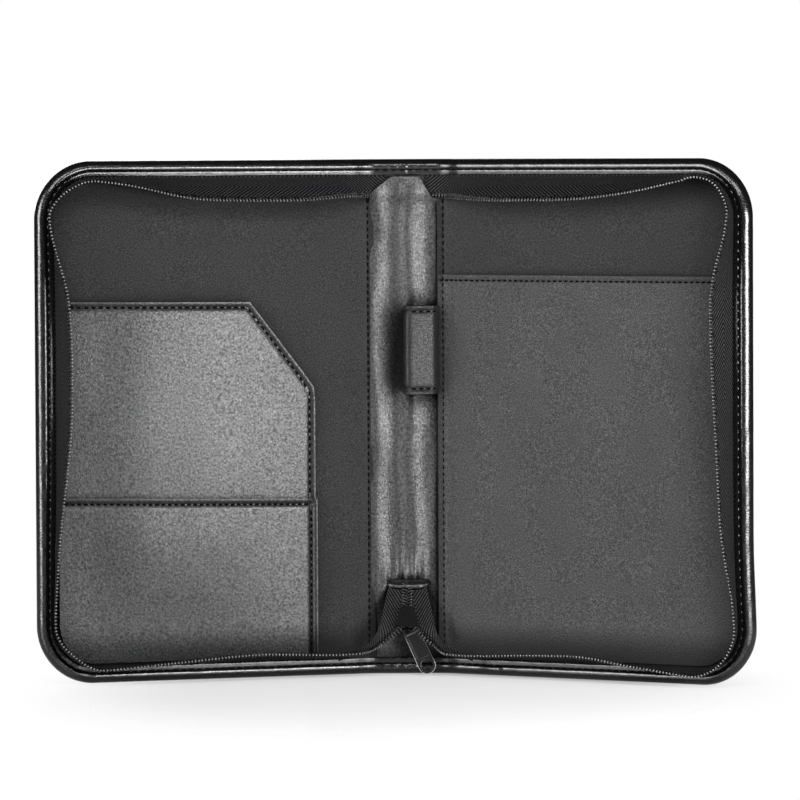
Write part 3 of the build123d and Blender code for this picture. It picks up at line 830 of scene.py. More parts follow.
def pull_painted_highlights(s, across, along):
    """Painted highlights on the pull: its long outer edges, its round tip, the panel's upper edge and the
    hole's upper left.
    """
    off = s.math("ABSOLUTE", across)
    past = s.math("SUBTRACT", along, PULL_HOLE_DOWN)
    from_hole = s.math("SQRT", s.math("ADD", s.times(across, across), s.times(past, past)))
    right_side = s.range(step_up(s, across, 0, 1), 1.0, 0.6)
    rims = s.times(step_up(s, off, 3.2, 3.4), step_up(s, along, 4.0, 6.5), right_side)
    tip = s.times(step_up(s, from_hole, 3.4, 3.6), step_up(s, past, 0, 1))
    panel = s.times(step_up(s, off, 3.0, 2.6), step_up(s, along, 4.5, 4.8), step_up(s, along, 5.5, 5.2))
    hole = s.times(step_up(s, from_hole, 3.4, 3.2), step_up(s, past, -0.2, -1), step_up(s, across, 1, 0))
    return s.most(rims, tip, s.times(panel, 0.6), s.times(hole, 0.35))


def slider_painted_highlight(s, across, along):
    """A painted highlight on the slider's round lower end."""
    return s.times(step_up(s, along, -4.2, -2.0), 0.8)


# The folder's materials


def pocket_leather():
    return leather("pocket_leatherette", colours().leather, pebble=1.2 * MM, rough=0.32, depth=0.16,
                   gloss=0.44, shade=fold_shade)


def cover_leather():
    return leather("cover_leatherette", colours().leather, pebble=1.4 * MM, rough=0.40, depth=0.25, gloss=0.4)


# the strip's leather carries a painted shadow beside the pen loop
def strip_leather():
    return leather("strip_leatherette", colours().leather, pebble=1.1 * MM, rough=0.35, depth=0.25,
                   gloss=0.84, shade=loop_shade)


def loop_leather():
    return leather("loop_leatherette", colours().leather, pebble=1.1 * MM, rough=0.35, depth=0.25, gloss=0.27)


def binding_leather():
    return leather("binding_leatherette", colours().binding, pebble=1.2 * MM, rough=0.2, depth=0.13,
                   gloss=0.55, coat=0.4, speckle=0.4)


def lining_cloth():
    return woven_cloth("lining_weave", colours().lining, pitch=0.45 * MM)


def notepad_cloth():
    return woven_cloth("notepad_weave", colours().pocket_cloth, pitch=0.45 * MM)


def tape_cloth():
    return herringbone_tape("zip_tape_herringbone", colours().tape)


def coil_plastic():
    return coil_with_painted_glints("zip_coil_nylon", colours().coil, colours().crown)


def tail_coil_plastic():
    return coil_with_painted_glints("zip_tail_nylon", colours().coil, colours().tail_painted_glint)


def slider_paint():
    return gloss_paint("slider_black_paint", colours().metal, rough=0.17, ripple=0.15)


def sewing_thread():
    return twisted_thread("sewing_thread", colours().thread)


@made_once
def studio_floor(s):
    """A white floor that keeps the shadow and a faint soft mirror image, and fades out round the folder."""
    where = s.place()
    tone = s.range(s.noise(where, 0.5), 0.97, 1.0)
    dimmed = s.math("ADD", s.times(s.ray("Glossy"), 0.13), s.times(s.ray("Diffuse"), 0.5))
    white = s.shade(colours().floor, s.math("SUBTRACT", tone, dimmed))
    diffuse = s.node("ShaderNodeBsdfDiffuse", {"Color": white})
    glow = s.node("ShaderNodeEmission", {"Color": (1, 1, 1, 1), "Strength": s.times(s.ray("Camera"), 0.36)})
    mirror = s.node("ShaderNodeBsdfGlossy", {"Color": (1, 1, 1, 1), "Roughness": 0.16})
    matt = s.node("ShaderNodeAddShader", {0: diffuse, 1: glow})
    lit = s.node("ShaderNodeMixShader", {0: 0.16, 1: matt, 2: mirror})
    away = s.vector("DISTANCE", s.vector("MULTIPLY", where, (1.5, 1, 1)), (0, -0.1, 0), "Value")
    fade = s.times(s.remap(away, 0.13, 0.28, kind="SMOOTHSTEP"), s.ray("Camera"))
    clear = s.node("ShaderNodeBsdfTransparent")
    return s.surface(s.node("ShaderNodeMixShader", {0: fade, 1: lit, 2: clear}))


# Levels of the layers


def binding_front(across):
    """Front level of the binding, lower over the spine than on the covers."""
    return SPINE_BINDING_FRONT + (BINDING_FRONT - SPINE_BINDING_FRONT) * ease((across - 14 * MM) / (14 * MM))


def strip_level(x, y):
    """Front of the leather strip down the spine: two soft rolls, drawn in at the slit."""
    drift = 1.5 * MM * uneven(0 * x, y, 70 * MM, 6)
    rolls = 1.5 * bump(x, drift - 14 * MM, 5.5 * MM) + 1.5 * bump(x, 2.2 * MM - drift, 5.5 * MM)
    rolls = rolls * (1 + 0.22 * uneven(x, y, 30 * MM, 7))
    soft = 0.3 * uneven(x, y * 0.45, 24 * MM, 5) + 0.08 * uneven(x, y, 9 * MM, 9)
    quiet = ease((y - 15 * MM) / (30 * MM)) * ease((sizes().cover_height - 4 * MM - y) / (9 * MM))
    near_slit = bump(x, 0, 9 * MM)
    gathers = np.cos(2 * math.pi * (x + 1.1 * MM) / (4.6 * MM)) * np.where(y > SLIT, 0.75, 0.3)
    gathers = gathers * np.exp(-np.abs(y - SLIT - 2 * MM) / (7 * MM))
    lips = 0.5 * bump(y, SLIT + 1.2 * MM, 1.5 * MM) + 0.5 * bump(y, SLIT - 3 * MM, 4 * MM)
    return STRIP_FRONT + MM * ((rolls + soft) * quiet + (gathers - lips) * near_slit)


def lining_level(across, y):
    """Front of the lining: over the strip's edge beside the spine, down into the fold, then up on to the
    cover, and tucked under the strip's head and the binding."""
    high = sizes().cover_height
    over_strip = STRIP_FRONT + 0.5 * MM
    rise = ease((across - 16 * MM) / (12 * MM))
    hem = 0.55 * MM * (1 - ease((across - 18.5 * MM) / (3 * MM)))
    groove = -0.25 * MM * bump(across, HEM_SEAM, 0.5 * MM)
    soft = 0.18 * MM * uneven(across, y, 45 * MM, 11) * rise
    level = over_strip + hem + groove + (LINING_FRONT - over_strip) * rise + soft
    under_head = (1 - ease((high - y - 14 * MM) / (6 * MM))) * (1 - ease((across - 21 * MM) / (6 * MM)))
    level = level - 2.4 * MM * under_head
    tucked = 1 - ease((np.minimum(y, high - y) - 7 * MM) / (4 * MM))
    return level + tucked * np.minimum(0, binding_front(across) - 0.7 * MM - level)


def hem_profile(inside):
    """Height of a turned and stitched edge, by the way in from the edge."""
    turned = 0.4 * MM * (1 - ease((inside - 0.3 * MM) / (2.2 * MM)))
    groove = -0.45 * MM * bump(inside, 2.5 * MM, 0.75 * MM)
    return turned + groove + 0.15 * MM * ease((inside - 2.6 * MM) / (1.6 * MM))


def slackness(across, y, inner, to_inner, to_outer, to_foot):
    """How freely a pocket hangs: 0 at its sewn edges, and 1 at the given ways in from them."""
    far = far_edge(sizes().pocket_inset)
    return ease((across - inner) / to_inner) * ease((far - across) / to_outer) * ease((y - 12 * MM) / to_foot)


def document_edges():
    """The large left pocket: its spine edge, upper edge, and the ends of its slanted corner."""
    size = sizes()
    inner, top = size.spine_width / 2 + 25.6 * MM, size.document_pocket_height
    return inner, top, inner + 31.7 * MM, top - 39.3 * MM


def document_slope():
    """The slanted edge's angle from upright."""
    inner, top, slant_across, slant_low = document_edges()
    return math.atan2(slant_across - inner, top - slant_low)


def document_inner(y):
    """The large left pocket's edge towards the spine, with the slanted corner."""
    inner, top, slant_across, slant_low = document_edges()
    part = np.clip((y - slant_low) / (top - slant_low), 0, 1)
    return inner + (slant_across - inner) * part + 0.55 * MM * bump(y, slant_low, 4 * MM)


def document_level(across, y):
    """Front of the large left pocket, slack towards its middle."""
    inner, top, _, slant_low = document_edges()
    from_slant = (across - document_inner(y)) * math.cos(document_slope())
    inside = np.minimum(top - y, np.where(y > slant_low, from_slant, across - inner))
    slack = slackness(across, y, inner, 60 * MM, 45 * MM, 60 * MM)
    sway = 2.3 * MM * slack + 0.35 * MM * uneven(across, y, 70 * MM, 21) * ease(slack * 2)
    return POCKET_FRONT + hem_profile(np.maximum(inside, 0)) + sway


def card_level(across, y):
    """Front of the small left pocket, over the large one."""
    inner = document_edges()[0]
    inside = np.minimum(sizes().card_pocket_height - y, across - inner + CARD_OVERHANG)
    slack = slackness(across, y, inner, 50 * MM, 40 * MM, 30 * MM)
    sway = 0.5 * MM * slack + 0.12 * MM * uneven(across, y, 50 * MM, 25) * slack
    return document_level(across, y) + 1.15 * MM + hem_profile(np.maximum(inside, 0)) + sway


def notepad_level(across, y):
    """Front of the right pocket of lining cloth, sewn into the hem beside the strip."""
    inside = np.maximum(sizes().notepad_pocket_height - y, 0)
    slack = slackness(across, y, 26 * MM, 45 * MM, 45 * MM, 60 * MM)
    bed = lining_level(across + HEM["left"] - HEM["right"], np.maximum(y, 12 * MM)) + HEM_LAYER
    free = NOTEPAD_FRONT + 0.6 * MM * slack + 0.22 * MM * uneven(across, y, 55 * MM, 31) * slack
    part = ease((across - 19 * MM) / (9 * MM))
    return bed + (np.maximum(free, bed) - bed) * part + hem_profile(inside)


# The pieces


def add_stitches(name, lines, pitch, share=0.66):
    """One mesh of stitches along lines of flat points: short threads with both ends in the material."""
    radius = sizes().thread_radius
    thick = radius * np.array([0.55, 0.95, 1, 0.95, 0.55])
    rings, sides = len(thick), 6
    arch = np.sin(np.linspace(0.12, 0.88, rings) * math.pi)
    turn = np.arange(sides) * 2 * math.pi / sides
    shape = tube_faces(rings, sides)
    points, faces, grain = [], [], []
    for line in lines:
        line = np.asarray(line, float)
        way = way_along(line)
        count = max(1, int(way[-1] / pitch))
        step = way[-1] / count
        for index in range(count):
            at = (index + 0.5) * step + np.linspace(-0.5, 0.5, rings) * step * share
            centre = np.stack([np.interp(at, way, line[:, axis]) for axis in range(3)], -1)
            centre[:, 2] += radius * (arch * 1.1 - 0.7)
            along = centre[-1] - centre[0]
            along /= np.linalg.norm(along)
            across = np.cross([0, 0, 1.0], along)
            across /= np.linalg.norm(across)
            up = np.cross(along, across)
            spokes = np.cos(turn)[None, :, None] * across + 0.8 * np.sin(turn)[None, :, None] * up
            base = len(points) * rings * sides
            faces += [[base + k for k in face] for face in shape]
            points.append(centre[:, None] + thick[:, None, None] * spokes)
            laid = np.broadcast_arrays(at[:, None], turn * radius, 0.0)
            grain.append(np.stack(laid, -1))
    return add_piece(name, to_row(np.array(points).reshape(-1, 3)), faces, sewing_thread(), np.array(grain))


class PADFOLIO_OT_cover_skins(bpy.types.Operator):
    """Make the outer leather of both covers and the spine, seen from the back."""

    bl_idname = "padfolio.cover_skins"
    bl_label = "Cover leather"

    def execute(self, context):
        size = sizes()
        inset = 2.2 * MM
        far, high, radius = far_edge(inset), size.cover_height - inset, size.corner_radius - inset
        rows = fine_steps(inset, high, 5 * MM)
        near_spine = np.linspace(0, 40 * MM, 24)
        columns = np.unique(np.concatenate([near_spine, fine_steps(40 * MM, far, 5 * MM)])) / far

        def level(across, y):
            crown = ease((across - 26 * MM) / (20 * MM)) * ease((far - across) / (22 * MM))
            crown = -0.55 * MM * crown * ease(y / (24 * MM)) * ease((high - y) / (24 * MM))
            crease = 0.5 * MM * bump(across, size.spine_width / 2, 3.5 * MM)
            return SKIN_BACK + crown + crease + 0.06 * MM * uneven(across, y, 40 * MM, 3)

        for side, sign in SIDES.items():
            skin, area = page_sheet(
                f"{side}_outer_leather", sign, rows, lambda y: 0 * y,
                lambda y: rounded_reach(y, inset, high, far, radius), level, cover_leather(), columns, -1,
            )
            thicken(skin, COVER_LEATHER)
            cross_fold(skin, side)
            nodes = [f"{side}_cover_skin", f"{side}_padding", f"{side}_board"]
            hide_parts(*nodes, *(["spine_skin", "spine_interlining"] if side == "left" else []))
            cut_area(area, far, high - inset)
        return {"FINISHED"}


class PADFOLIO_OT_linings(bpy.types.Operator):
    """Make the woven lining of both covers, hemmed beside the spine."""

    bl_idname = "padfolio.linings"
    bl_label = "Linings"

    def execute(self, context):
        size = sizes()
        inset = 3 * MM
        far, high, radius = far_edge(inset), size.cover_height - inset, size.corner_radius - inset
        rows = fine_steps(inset, high, 4 * MM)
        for side, sign in SIDES.items():
            hem = HEM[side]
            shift = HEM["left"] - hem
            columns = np.unique(np.concatenate([
                hem + NEAR_HEM, np.linspace(hem + 7 * MM, 34 * MM, 16), np.linspace(36 * MM, far, 40)
            ]))
            lining, area = page_sheet(
                f"{side}_lining_cloth", sign, rows, lambda y: hem + 0.25 * MM * uneven(0 * y, y, 60 * MM, 8),
                lambda y: rounded_reach(y, inset, high, far, radius),
                lambda across, y: lining_level(across + shift, y), lining_cloth(),
                (columns - hem) / (far - hem),
            )
            thicken(lining, LINING_CLOTH)
            cross_fold(lining, side)
            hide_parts(f"{side}_lining")
            cut_area(area, far - hem, high - inset)
            y = np.arange(10 * MM, size.cover_height - 11 * MM, 2 * MM)
            across = np.full_like(y, HEM_SEAM)
            over = HEM_LAYER * (y < size.notepad_pocket_height) if side == "right" else 0
            seam = np.stack([sign * (across - shift), y, lining_level(across, y) + 0.1 * MM + over], -1)
            threads = add_stitches(f"{side}_hem_stitches", [seam], HEM_STITCH)
            cross_fold(threads, side)
        return {"FINISHED"}


def add_strip():
    """The leather strip down the spine, slit for the zip's tail and cut to a tongue at its head."""
    half, foot, head = STRIP_HALF, 5.5 * MM, sizes().cover_height - 8.2 * MM
    under, over = SLIT - SLIT_GAP, SLIT + SLIT_GAP
    rows = np.unique(np.concatenate([
        np.arange(foot, under - 8 * MM, 2 * MM), np.linspace(under - 8 * MM, under, 14),
        np.linspace(over, over + 14 * MM, 18), np.arange(over + 16 * MM, head - 14 * MM, 4 * MM),
        np.linspace(head - 12.5 * MM, head, 20),
    ]))
    columns = np.linspace(-half, half, 70)
    for end in (-SLIT_HALF, SLIT_HALF):
        columns[np.argmin(np.abs(columns - end))] = end
    left = np.interp(rows, [head - 8 * MM, head], [half, 6.6 * MM])[:, None]
    right = np.interp(rows, [head - 11.2 * MM, head - 9.2 * MM, head], [half, 11.6 * MM, 6.2 * MM])[:, None]
    x = columns[None, :] * np.where(columns < 0, left, right) / half
    y = np.broadcast_to(rows[:, None], x.shape)
    over_tape_ends = 1.3 * MM * ease((y - head + 14 * MM) / (7 * MM))
    flat = np.stack([x, y, strip_level(x, y) + over_tape_ends], -1)
    points, faces = to_row(flat), grid_faces(*x.shape)
    middle = flat.reshape(-1, 3)[faces].mean(axis=1)
    opening = (np.abs(middle[:, 1] - SLIT) < SLIT_GAP * 0.98) & (np.abs(middle[:, 0]) < SLIT_HALF)
    strip = add_piece("spine_leather_strip", points, faces[~opening], strip_leather(), flat)
    thicken(strip, STRIP_LEATHER, 0.25 * MM)
    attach(strip, "spine")
    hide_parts("spine_lining")
    cut_area(grid_area(points), 2 * half, head - foot)


def add_slit_welt():
    """The slit's lower lip, a narrow roll of the strip's leather."""
    half, stations, sides = 10.4 * MM, 40, 12
    across = np.linspace(-half, half, stations)
    end = np.abs(across) / half
    out = 1.6 * MM + 2.3 * MM * (1 - end**4)
    up = 40.4 * MM + 0.25 * MM * uneven(across, 0 * across, 9 * MM, 71) + 2.0 * MM * end**5
    swell = (1 - 0.75 * end**6 + 0.2 * uneven(across, 0 * across, 6 * MM, 72))[:, None]
    turn = np.linspace(0, 2 * math.pi, sides, endpoint=False)
    rise, depth = 1.35 * MM * swell * np.cos(turn), 0.8 * MM * swell * np.sin(turn)
    flat = np.stack(np.broadcast_arrays(across[:, None], up[:, None] + rise, out[:, None] + depth), -1)
    grain = np.stack(np.broadcast_arrays(across[:, None], turn * MM, 0.0), -1)
    faces = [face[::-1] for face in tube_faces(stations, sides)]
    welt = add_piece("slit_welt", to_row(flat), faces, strip_leather(), grain)
    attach(welt, "spine")


class PADFOLIO_OT_spine_strip(bpy.types.Operator):
    """Make the leather strip down the inside of the spine and the lip of its slit."""

    bl_idname = "padfolio.spine_strip"
    bl_label = "Spine strip"

    def execute(self, context):
        add_strip()
        add_slit_welt()
        return {"FINISHED"}


def pocket_rise(high, amount):
    """How far a pocket's upper edge is drawn up towards the cover's outer edge."""
    far, start = far_edge(sizes().pocket_inset), 45 * MM

    def rise(across, y):
        return amount * np.clip((across - start) / (far - start), 0, 1) * ease(y / high)

    return rise


def add_pocket(name, side, high, inner, level, material, thickness, under, nodes, rise=None):
    """A pocket's sheet on one cover. Under is how far it reaches past its sewn edges, below the zip tape."""
    size = sizes()
    foot, far = size.pocket_inset - under, far_edge(size.pocket_inset) + under
    radius = size.corner_radius - size.pocket_inset + under
    # the upper corners stay square: the round there would lie far above the pocket
    beyond = 10 * size.cover_height
    width = far - float(inner(np.array(foot)))
    piece, area = page_sheet(
        name, SIDES[side], fine_steps(foot, high, 3.2 * MM), inner,
        lambda y: rounded_reach(y, foot, beyond, far, radius), level, material,
        fine_steps(0, width, 3.2 * MM) / width, rise=rise,
    )
    thicken(piece, thickness, 0.28 * MM)
    if side == "left":
        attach(piece, "left_cover")
    else:
        cross_fold(piece, "right")
    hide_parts(*nodes)
    cut_area(area, width, high - foot)


def pocket_seam(side, across, y, level, rise=None):
    """A row of stitches' flat points on a pocket; across or y may be one value for the whole row."""
    across, y = np.broadcast_arrays(across, y)
    drawn = rise(across, y) if rise else 0
    return np.stack([SIDES[side] * across, y + drawn, level(across, y) + 0.12 * MM], -1)


class PADFOLIO_OT_pockets(bpy.types.Operator):
    """Make the document, card and notepad pockets with their stitches."""

    bl_idname = "padfolio.pockets"
    bl_label = "Pockets"

    def execute(self, context):
        size = sizes()
        foot, far = size.pocket_inset, far_edge(size.pocket_inset)
        inner, top, slant_across, slant_low = document_edges()
        card_top, card_inner = size.card_pocket_height, inner - CARD_OVERHANG
        pad_top, pad_inner = size.notepad_pocket_height, HEM["right"] + 0.5 * MM
        document_rise, card_rise = pocket_rise(top, 1.4 * MM), pocket_rise(card_top, 2.8 * MM)
        add_pocket(
            "document_pocket_leather", "left", top, document_inner, document_level, pocket_leather(),
            thickness=POCKET_LEATHER, under=POCKET_UNDER, nodes=["document_pocket", "document_pocket_seam"],
            rise=document_rise,
        )
        add_pocket(
            "card_pocket_leather", "left", card_top, lambda y: card_inner + 0 * y, card_level,
            pocket_leather(), thickness=POCKET_LEATHER, under=POCKET_UNDER,
            nodes=["card_pocket", "card_pocket_seam"],
            rise=card_rise,
        )
        add_pocket(
            "notepad_pocket_cloth", "right", pad_top, lambda y: pad_inner + 0 * y, notepad_level,
            notepad_cloth(), thickness=NOTEPAD_CLOTH, under=NOTEPAD_UNDER,
            nodes=["notepad_pocket", "notepad_pocket_seam"],
        )

        head_x = np.arange(far - 1 * MM, slant_across + 1.4 * MM, -2 * MM)
        slant_y = np.linspace(top - EDGE_SEAM - 0.4 * MM, slant_low, 30)
        slant_x = document_inner(slant_y) + EDGE_SEAM / math.cos(document_slope())
        edge_y = np.arange(slant_low - 1 * MM, card_top + 1 * MM, -2 * MM)
        document = add_stitches("document_pocket_stitches", [
            pocket_seam("left", head_x, top - EDGE_SEAM, document_level, document_rise),
            pocket_seam("left", slant_x, slant_y, document_level, document_rise),
            pocket_seam("left", inner + EDGE_SEAM, edge_y, document_level),
        ], DOCUMENT_STITCH)
        card_x = np.arange(far - 1 * MM, inner + 2.4 * MM, -2 * MM)
        card_y = np.arange(card_top - 5 * MM, foot, -2 * MM)
        card = add_stitches("card_pocket_stitches", [
            pocket_seam("left", card_x, card_top - EDGE_SEAM, card_level, card_rise),
            pocket_seam("left", card_inner + EDGE_SEAM, card_y, card_level),
        ], CARD_STITCH)
        pad_x = np.arange(HEM["right"] + 1 * MM, far - 1 * MM, 2 * MM)
        notepad = add_stitches("notepad_pocket_stitches", [
            pocket_seam("right", pad_x, pad_top - EDGE_SEAM, notepad_level)
        ], NOTEPAD_STITCH)
        for threads in (document, card):
            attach(threads, "left_cover")
        cross_fold(notepad, "right")
        return {"FINISHED"}


def smooth_line(corners, count):
    """Points of a smooth line through some corners, and where each lies by the corners' count."""
    last = len(corners) - 1
    t = np.linspace(0, last, count)
    k = np.clip(t.astype(int), 0, last - 1)
    f = (t - k)[:, None]
    a, b = corners[k], corners[k + 1]
    before, after = corners[np.maximum(k - 1, 0)], corners[np.minimum(k + 2, last)]
    bend, twist = 2 * before - 5 * a + 4 * b - after, 3 * a - before - 3 * b + after
    return 0.5 * (2 * a + (b - before) * f + bend * f**2 + twist * f**3), t


class PADFOLIO_OT_pen_loop(bpy.types.Operator):
    """Make the leather pen loop: a folded band sewn into the seam beside the strip."""

    bl_idname = "padfolio.pen_loop"
    bl_label = "Pen loop"

    def execute(self, context):
        low, high = 129.7 * MM, 170.3 * MM
        seam = 15.6
        middle = np.array([5.6, 7.4]) * MM
        corners = np.array([
            (seam, 3.0), (15.4, 5.4), (14.7, 7.7), (13.2, 9.4), (11.0, 10.4), (8.2, 11.5), (5.2, 12.6),
            (2.5, 13.4), (0.5, 13.1), (-0.8, 11.2), (-0.9, 7.2), (0.2, 3.9), (2.4, 2.5), (6.0, 2.15),
            (11, 2.15), (seam, 2.15),
        ]) * MM
        line, t = smooth_line(corners, 60)
        rows = fine_steps(low, high, 2.5 * MM)
        hem = hem_profile(np.minimum(rows - low, high - rows))[:, None]
        swell = hem + 0.12 * MM * uneven(t[None, :] * MM, rows[:, None], 12 * MM, 41)
        outwards = (line - middle) / np.linalg.norm(line - middle, axis=1)[:, None]
        free = ease(np.abs(line[:, 0] - seam * MM) / (4 * MM))
        place = line[None] + outwards[None] * (swell * free[None, :])[..., None]
        flat = np.stack([place[..., 0], np.broadcast_to(rows[:, None], place.shape[:2]), place[..., 1]], -1)
        way = way_along(line)
        grain = np.stack(np.broadcast_arrays(way, rows[:, None], 0.0), -1)
        points = to_row(flat)
        faces = grid_faces(*points.shape[:2])[:, ::-1]
        loop = add_piece("pen_loop_leather", points, faces, loop_leather(), grain)
        thicken(loop, STRIP_LEATHER, 0.25 * MM)
        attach(loop, "spine")
        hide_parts("pen_loop")
        face = slice(8, 30)
        lines = []
        for y in (low + EDGE_SEAM, high - EDGE_SEAM):
            front = place[np.argmin(np.abs(rows - y)), face]
            lines.append(np.stack([front[:, 0], np.full(len(front), y), front[:, 1] + 0.15 * MM], -1)[::-1])
        threads = add_stitches("pen_loop_stitches", lines, LOOP_STITCH)
        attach(threads, "spine")
        return {"FINISHED"}


def add_binding(side, sign):
    """One half's binding strip, rolled over the edge and pressed flat inside it, with its stitches."""
    width = sizes().binding_width
    place, inwards, names = edge_line(0, 1.4 * MM)
    way, across = way_along(place), place[:, 0]
    stretch = np.array([name for name, _ in names])
    head = (stretch == "head") | (stretch == "head_corner")

    # hand-made unevenness, gathers over the spine and a lapped joint at the right foot
    gathered = bump(across, 0, 11 * MM) * (np.abs(inwards[:, 1]) > 0.99)
    start, length = np.where(head, 0.6, 1.5) * MM, np.where(head, 4.1, 4.7) * MM
    gathers = np.cos(2 * math.pi * (sign * across + start) / length) * gathered
    wobble = uneven(way, 0 * way, 13 * MM, 51 + sign) + 0.6 * uneven(way, 0 * way, 42 * MM, 55 + sign)
    wobble = wobble * ease(across / (9 * MM))
    lap = (stretch == "foot") * (across < 49.6 * MM) * ease((across - 36 * MM) / (8 * MM)) * (side == "right")
    lift = MM * (0.12 * wobble + 0.5 * gathers + 0.55 * lap)
    wider = 1 + BINDING_SWELL[side] * mid_side(place, inwards)
    level = binding_front(across)
    pressed = MM * np.where(inwards[:, 1] < 0, 0.34, 0.16) * inwards[:, 1]

    section = []
    for share, z in BINDING_PROFILE:
        rolled, flange = max(0.0, 1 - abs(share - 0.4) / 0.45), max(0.0, (share - 0.75) / 0.25)
        inset = width * share * wider + flange * MM * (0.12 * wobble - 0.25 * gathers)
        front = level + z * MM + lift * (0.5 + 0.7 * rolled) + pressed * max(0.0, (share - 0.72) / 0.28)
        section.append((inset, front))
    section.append((0 * across, (level + BINDING_BACK) / 2))
    for share, z in BINDING_PROFILE[::-1]:
        section.append((width * share + 0 * across, BINDING_BACK - z * MM - 0.06 * MM * wobble))
    s, z = (np.stack(part, 1) for part in zip(*section))
    flat = np.stack([sign * (place[:, :1] + inwards[:, :1] * s), place[:, 1:] + inwards[:, 1:] * s, z], -1)
    steps = np.hypot(np.diff(s, axis=1), np.diff(z, axis=1)).mean(axis=0)
    around = np.concatenate([[0], np.cumsum(steps)])
    grain = np.stack(np.broadcast_arrays(way[:, None], around, 0.0), -1)
    # the right side's faces run the other way round
    faces = grid_faces(*s.shape)[:, ::-sign]
    piece = add_piece(f"{side}_edge_binding", to_row(flat), faces, binding_leather(), grain)
    fine = piece.modifiers.new("round", "SUBSURF")
    fine.levels = fine.render_levels = 1
    keep_result(piece)
    cross_fold(piece, side)
    nodes = [f"{side}_binding"] + (["spine_binding_foot", "spine_binding_head"] if side == "left" else [])
    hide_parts(*nodes)

    sewn = place + inwards * (BINDING_SEAM * width * wider)[:, None]
    seam = np.stack([sign * sewn[:, 0], sewn[:, 1], level - 0.24 * MM + lift * 0.6], -1)
    threads = add_stitches(f"{side}_binding_stitches", [seam], BINDING_STITCH, 0.84)
    cross_fold(threads, side)


class PADFOLIO_OT_bindings(bpy.types.Operator):
    """Make the rolled binding strip round the edges and its row of stitches."""

    bl_idname = "padfolio.bindings"
    bl_label = "Bindings"

    def execute(self, context):
        for side, sign in SIDES.items():
            add_binding(side, sign)
        return {"FINISHED"}


def tail_point(x, down, out=0.0):
    """A point of the zip's tail: across, down the chain from its bend, and out of the tape."""
    cos, sin = math.cos(TAIL_LEAN), math.sin(TAIL_LEAN)
    return np.array([x, TAIL_HEIGHT - down * cos + out * sin, TAIL_LEVEL + down * sin + out * cos])


def curve_between(a, a_way, b, b_way, count):
    """A smooth curve from a to b that leaves along a_way and arrives along b_way."""
    h0, h1, h2, h3 = cubic(np.linspace(0, 1, count)[:, None])
    return h0 * a + h1 * a_way + h2 * b + h3 * b_way


def zip_lines(side):
    """Three lines along one half of the zip, as flat points for the right side: the sewn edge under the
    binding, the bend and the toothed edge, from the slit, past the slider, round the cover and under the
    strip's head. Also the count of stations in the closed tail."""
    size = sizes()
    place, inwards, names = edge_line(size.spine_width / 2 + 20 * MM, ZIP_STEP)
    across_end = np.arange(size.spine_width / 2 + 18 * MM, 8.5 * MM, -ZIP_STEP)
    lean = np.array([np.interp(t, *zip(*LEANS[side][name])) for name, t in names])
    lean = np.concatenate([lean, np.interp(across_end / MM, *zip(*LEANS[side]["end"]))])
    place = np.concatenate([place, np.stack([across_end, np.full_like(across_end, size.cover_height)], -1)])
    inwards = np.concatenate([inwards, np.tile([0.0, -1.0], (len(across_end), 1))])
    lean = np.pad(lean, LEAN_SPAN // 2, mode="edge")
    lean = np.radians(np.convolve(lean, np.ones(LEAN_SPAN) / LEAN_SPAN, mode="valid"))
    on_head = inwards[:, 1] < -0.9
    tuck = ease((34 * MM - place[:, 0]) / (22 * MM)) * on_head
    drawn = 5.6 * MM * ease((60 * MM - place[:, 0]) / (44 * MM)) * on_head
    wide = size.tape_width - drawn
    inset = size.tape_inset + TAPE_SWAY[side] * mid_side(place, inwards)
    level = TAPE_FRONT - 3.1 * MM * tuck

    def at(inset, level):
        return np.concatenate([place + inwards * inset[:, None], level[:, None]], 1)

    sewn = at(np.maximum(inset - drawn - 2.6 * MM, 1.8 * MM), level - 0.35 * MM)
    bend = at(inset, level)
    edge = at(inset + wide * np.cos(lean), level + wide * np.sin(lean))

    # the closed tail and the slack end between the slider and the cover
    down = np.array([0, -math.cos(TAIL_LEAN), math.sin(TAIL_LEAN)])
    outwards = np.array([1.0, 0, 0])
    mouth, shoulder = tail_point(3.2 * MM, 26.5 * MM), tail_point(12.2 * MM, 23 * MM)
    edge_turn = curve_between(mouth, np.array([26, -34, 12]) * MM, edge[0], outwards * 40 * MM, 30)[:-1]
    leaving = (down + 0.25 * outwards) * 34 * MM
    bend_turn = curve_between(shoulder, leaving, bend[0], outwards * 30 * MM, 30)[:-1]
    tail = np.linspace(0, 1, 16, endpoint=False)
    spread = 2.3 * MM * np.maximum(0, 3.3 * tail - 2.3) ** 1.5
    tail_edge = np.stack([tail_point(0.9 * MM + x, 1.5 * MM + 25 * MM * t) for x, t in zip(spread, tail)])
    tail_bend = np.stack([tail_point(8.0 * MM + 4.2 * MM * t, 1.5 * MM + 21.5 * MM * t) for t in tail])
    for line in (tail_edge, tail_bend):
        line[0, 1:] = 42.7 * MM, -0.5 * MM
    free_bend = np.concatenate([tail_bend, bend_turn])
    free = ease(np.linalg.norm(free_bend - bend[0], axis=1) / (24 * MM))[:, None]
    free_sewn = free_bend + (1 - free) * (sewn[0] - bend[0]) + free * outwards * 0.12 * MM
    sewn, bend = np.concatenate([free_sewn, sewn]), np.concatenate([free_bend, bend])
    return sewn, bend, np.concatenate([tail_edge, edge_turn, edge]), len(tail_edge)


def zip_frames(side):
    """The zip's lines with, at each station, the ways along the zip, across the tape to its teeth, and
    out of its face."""
    sewn, bend, edge, tail_count = zip_lines(side)
    along = np.gradient(edge, axis=0)
    along /= np.linalg.norm(along, axis=1)[:, None]
    across = edge - bend
    across -= (across * along).sum(axis=1)[:, None] * along
    across /= np.linalg.norm(across, axis=1)[:, None]
    return sewn, bend, edge, tail_count, along, across, np.cross(along, across)


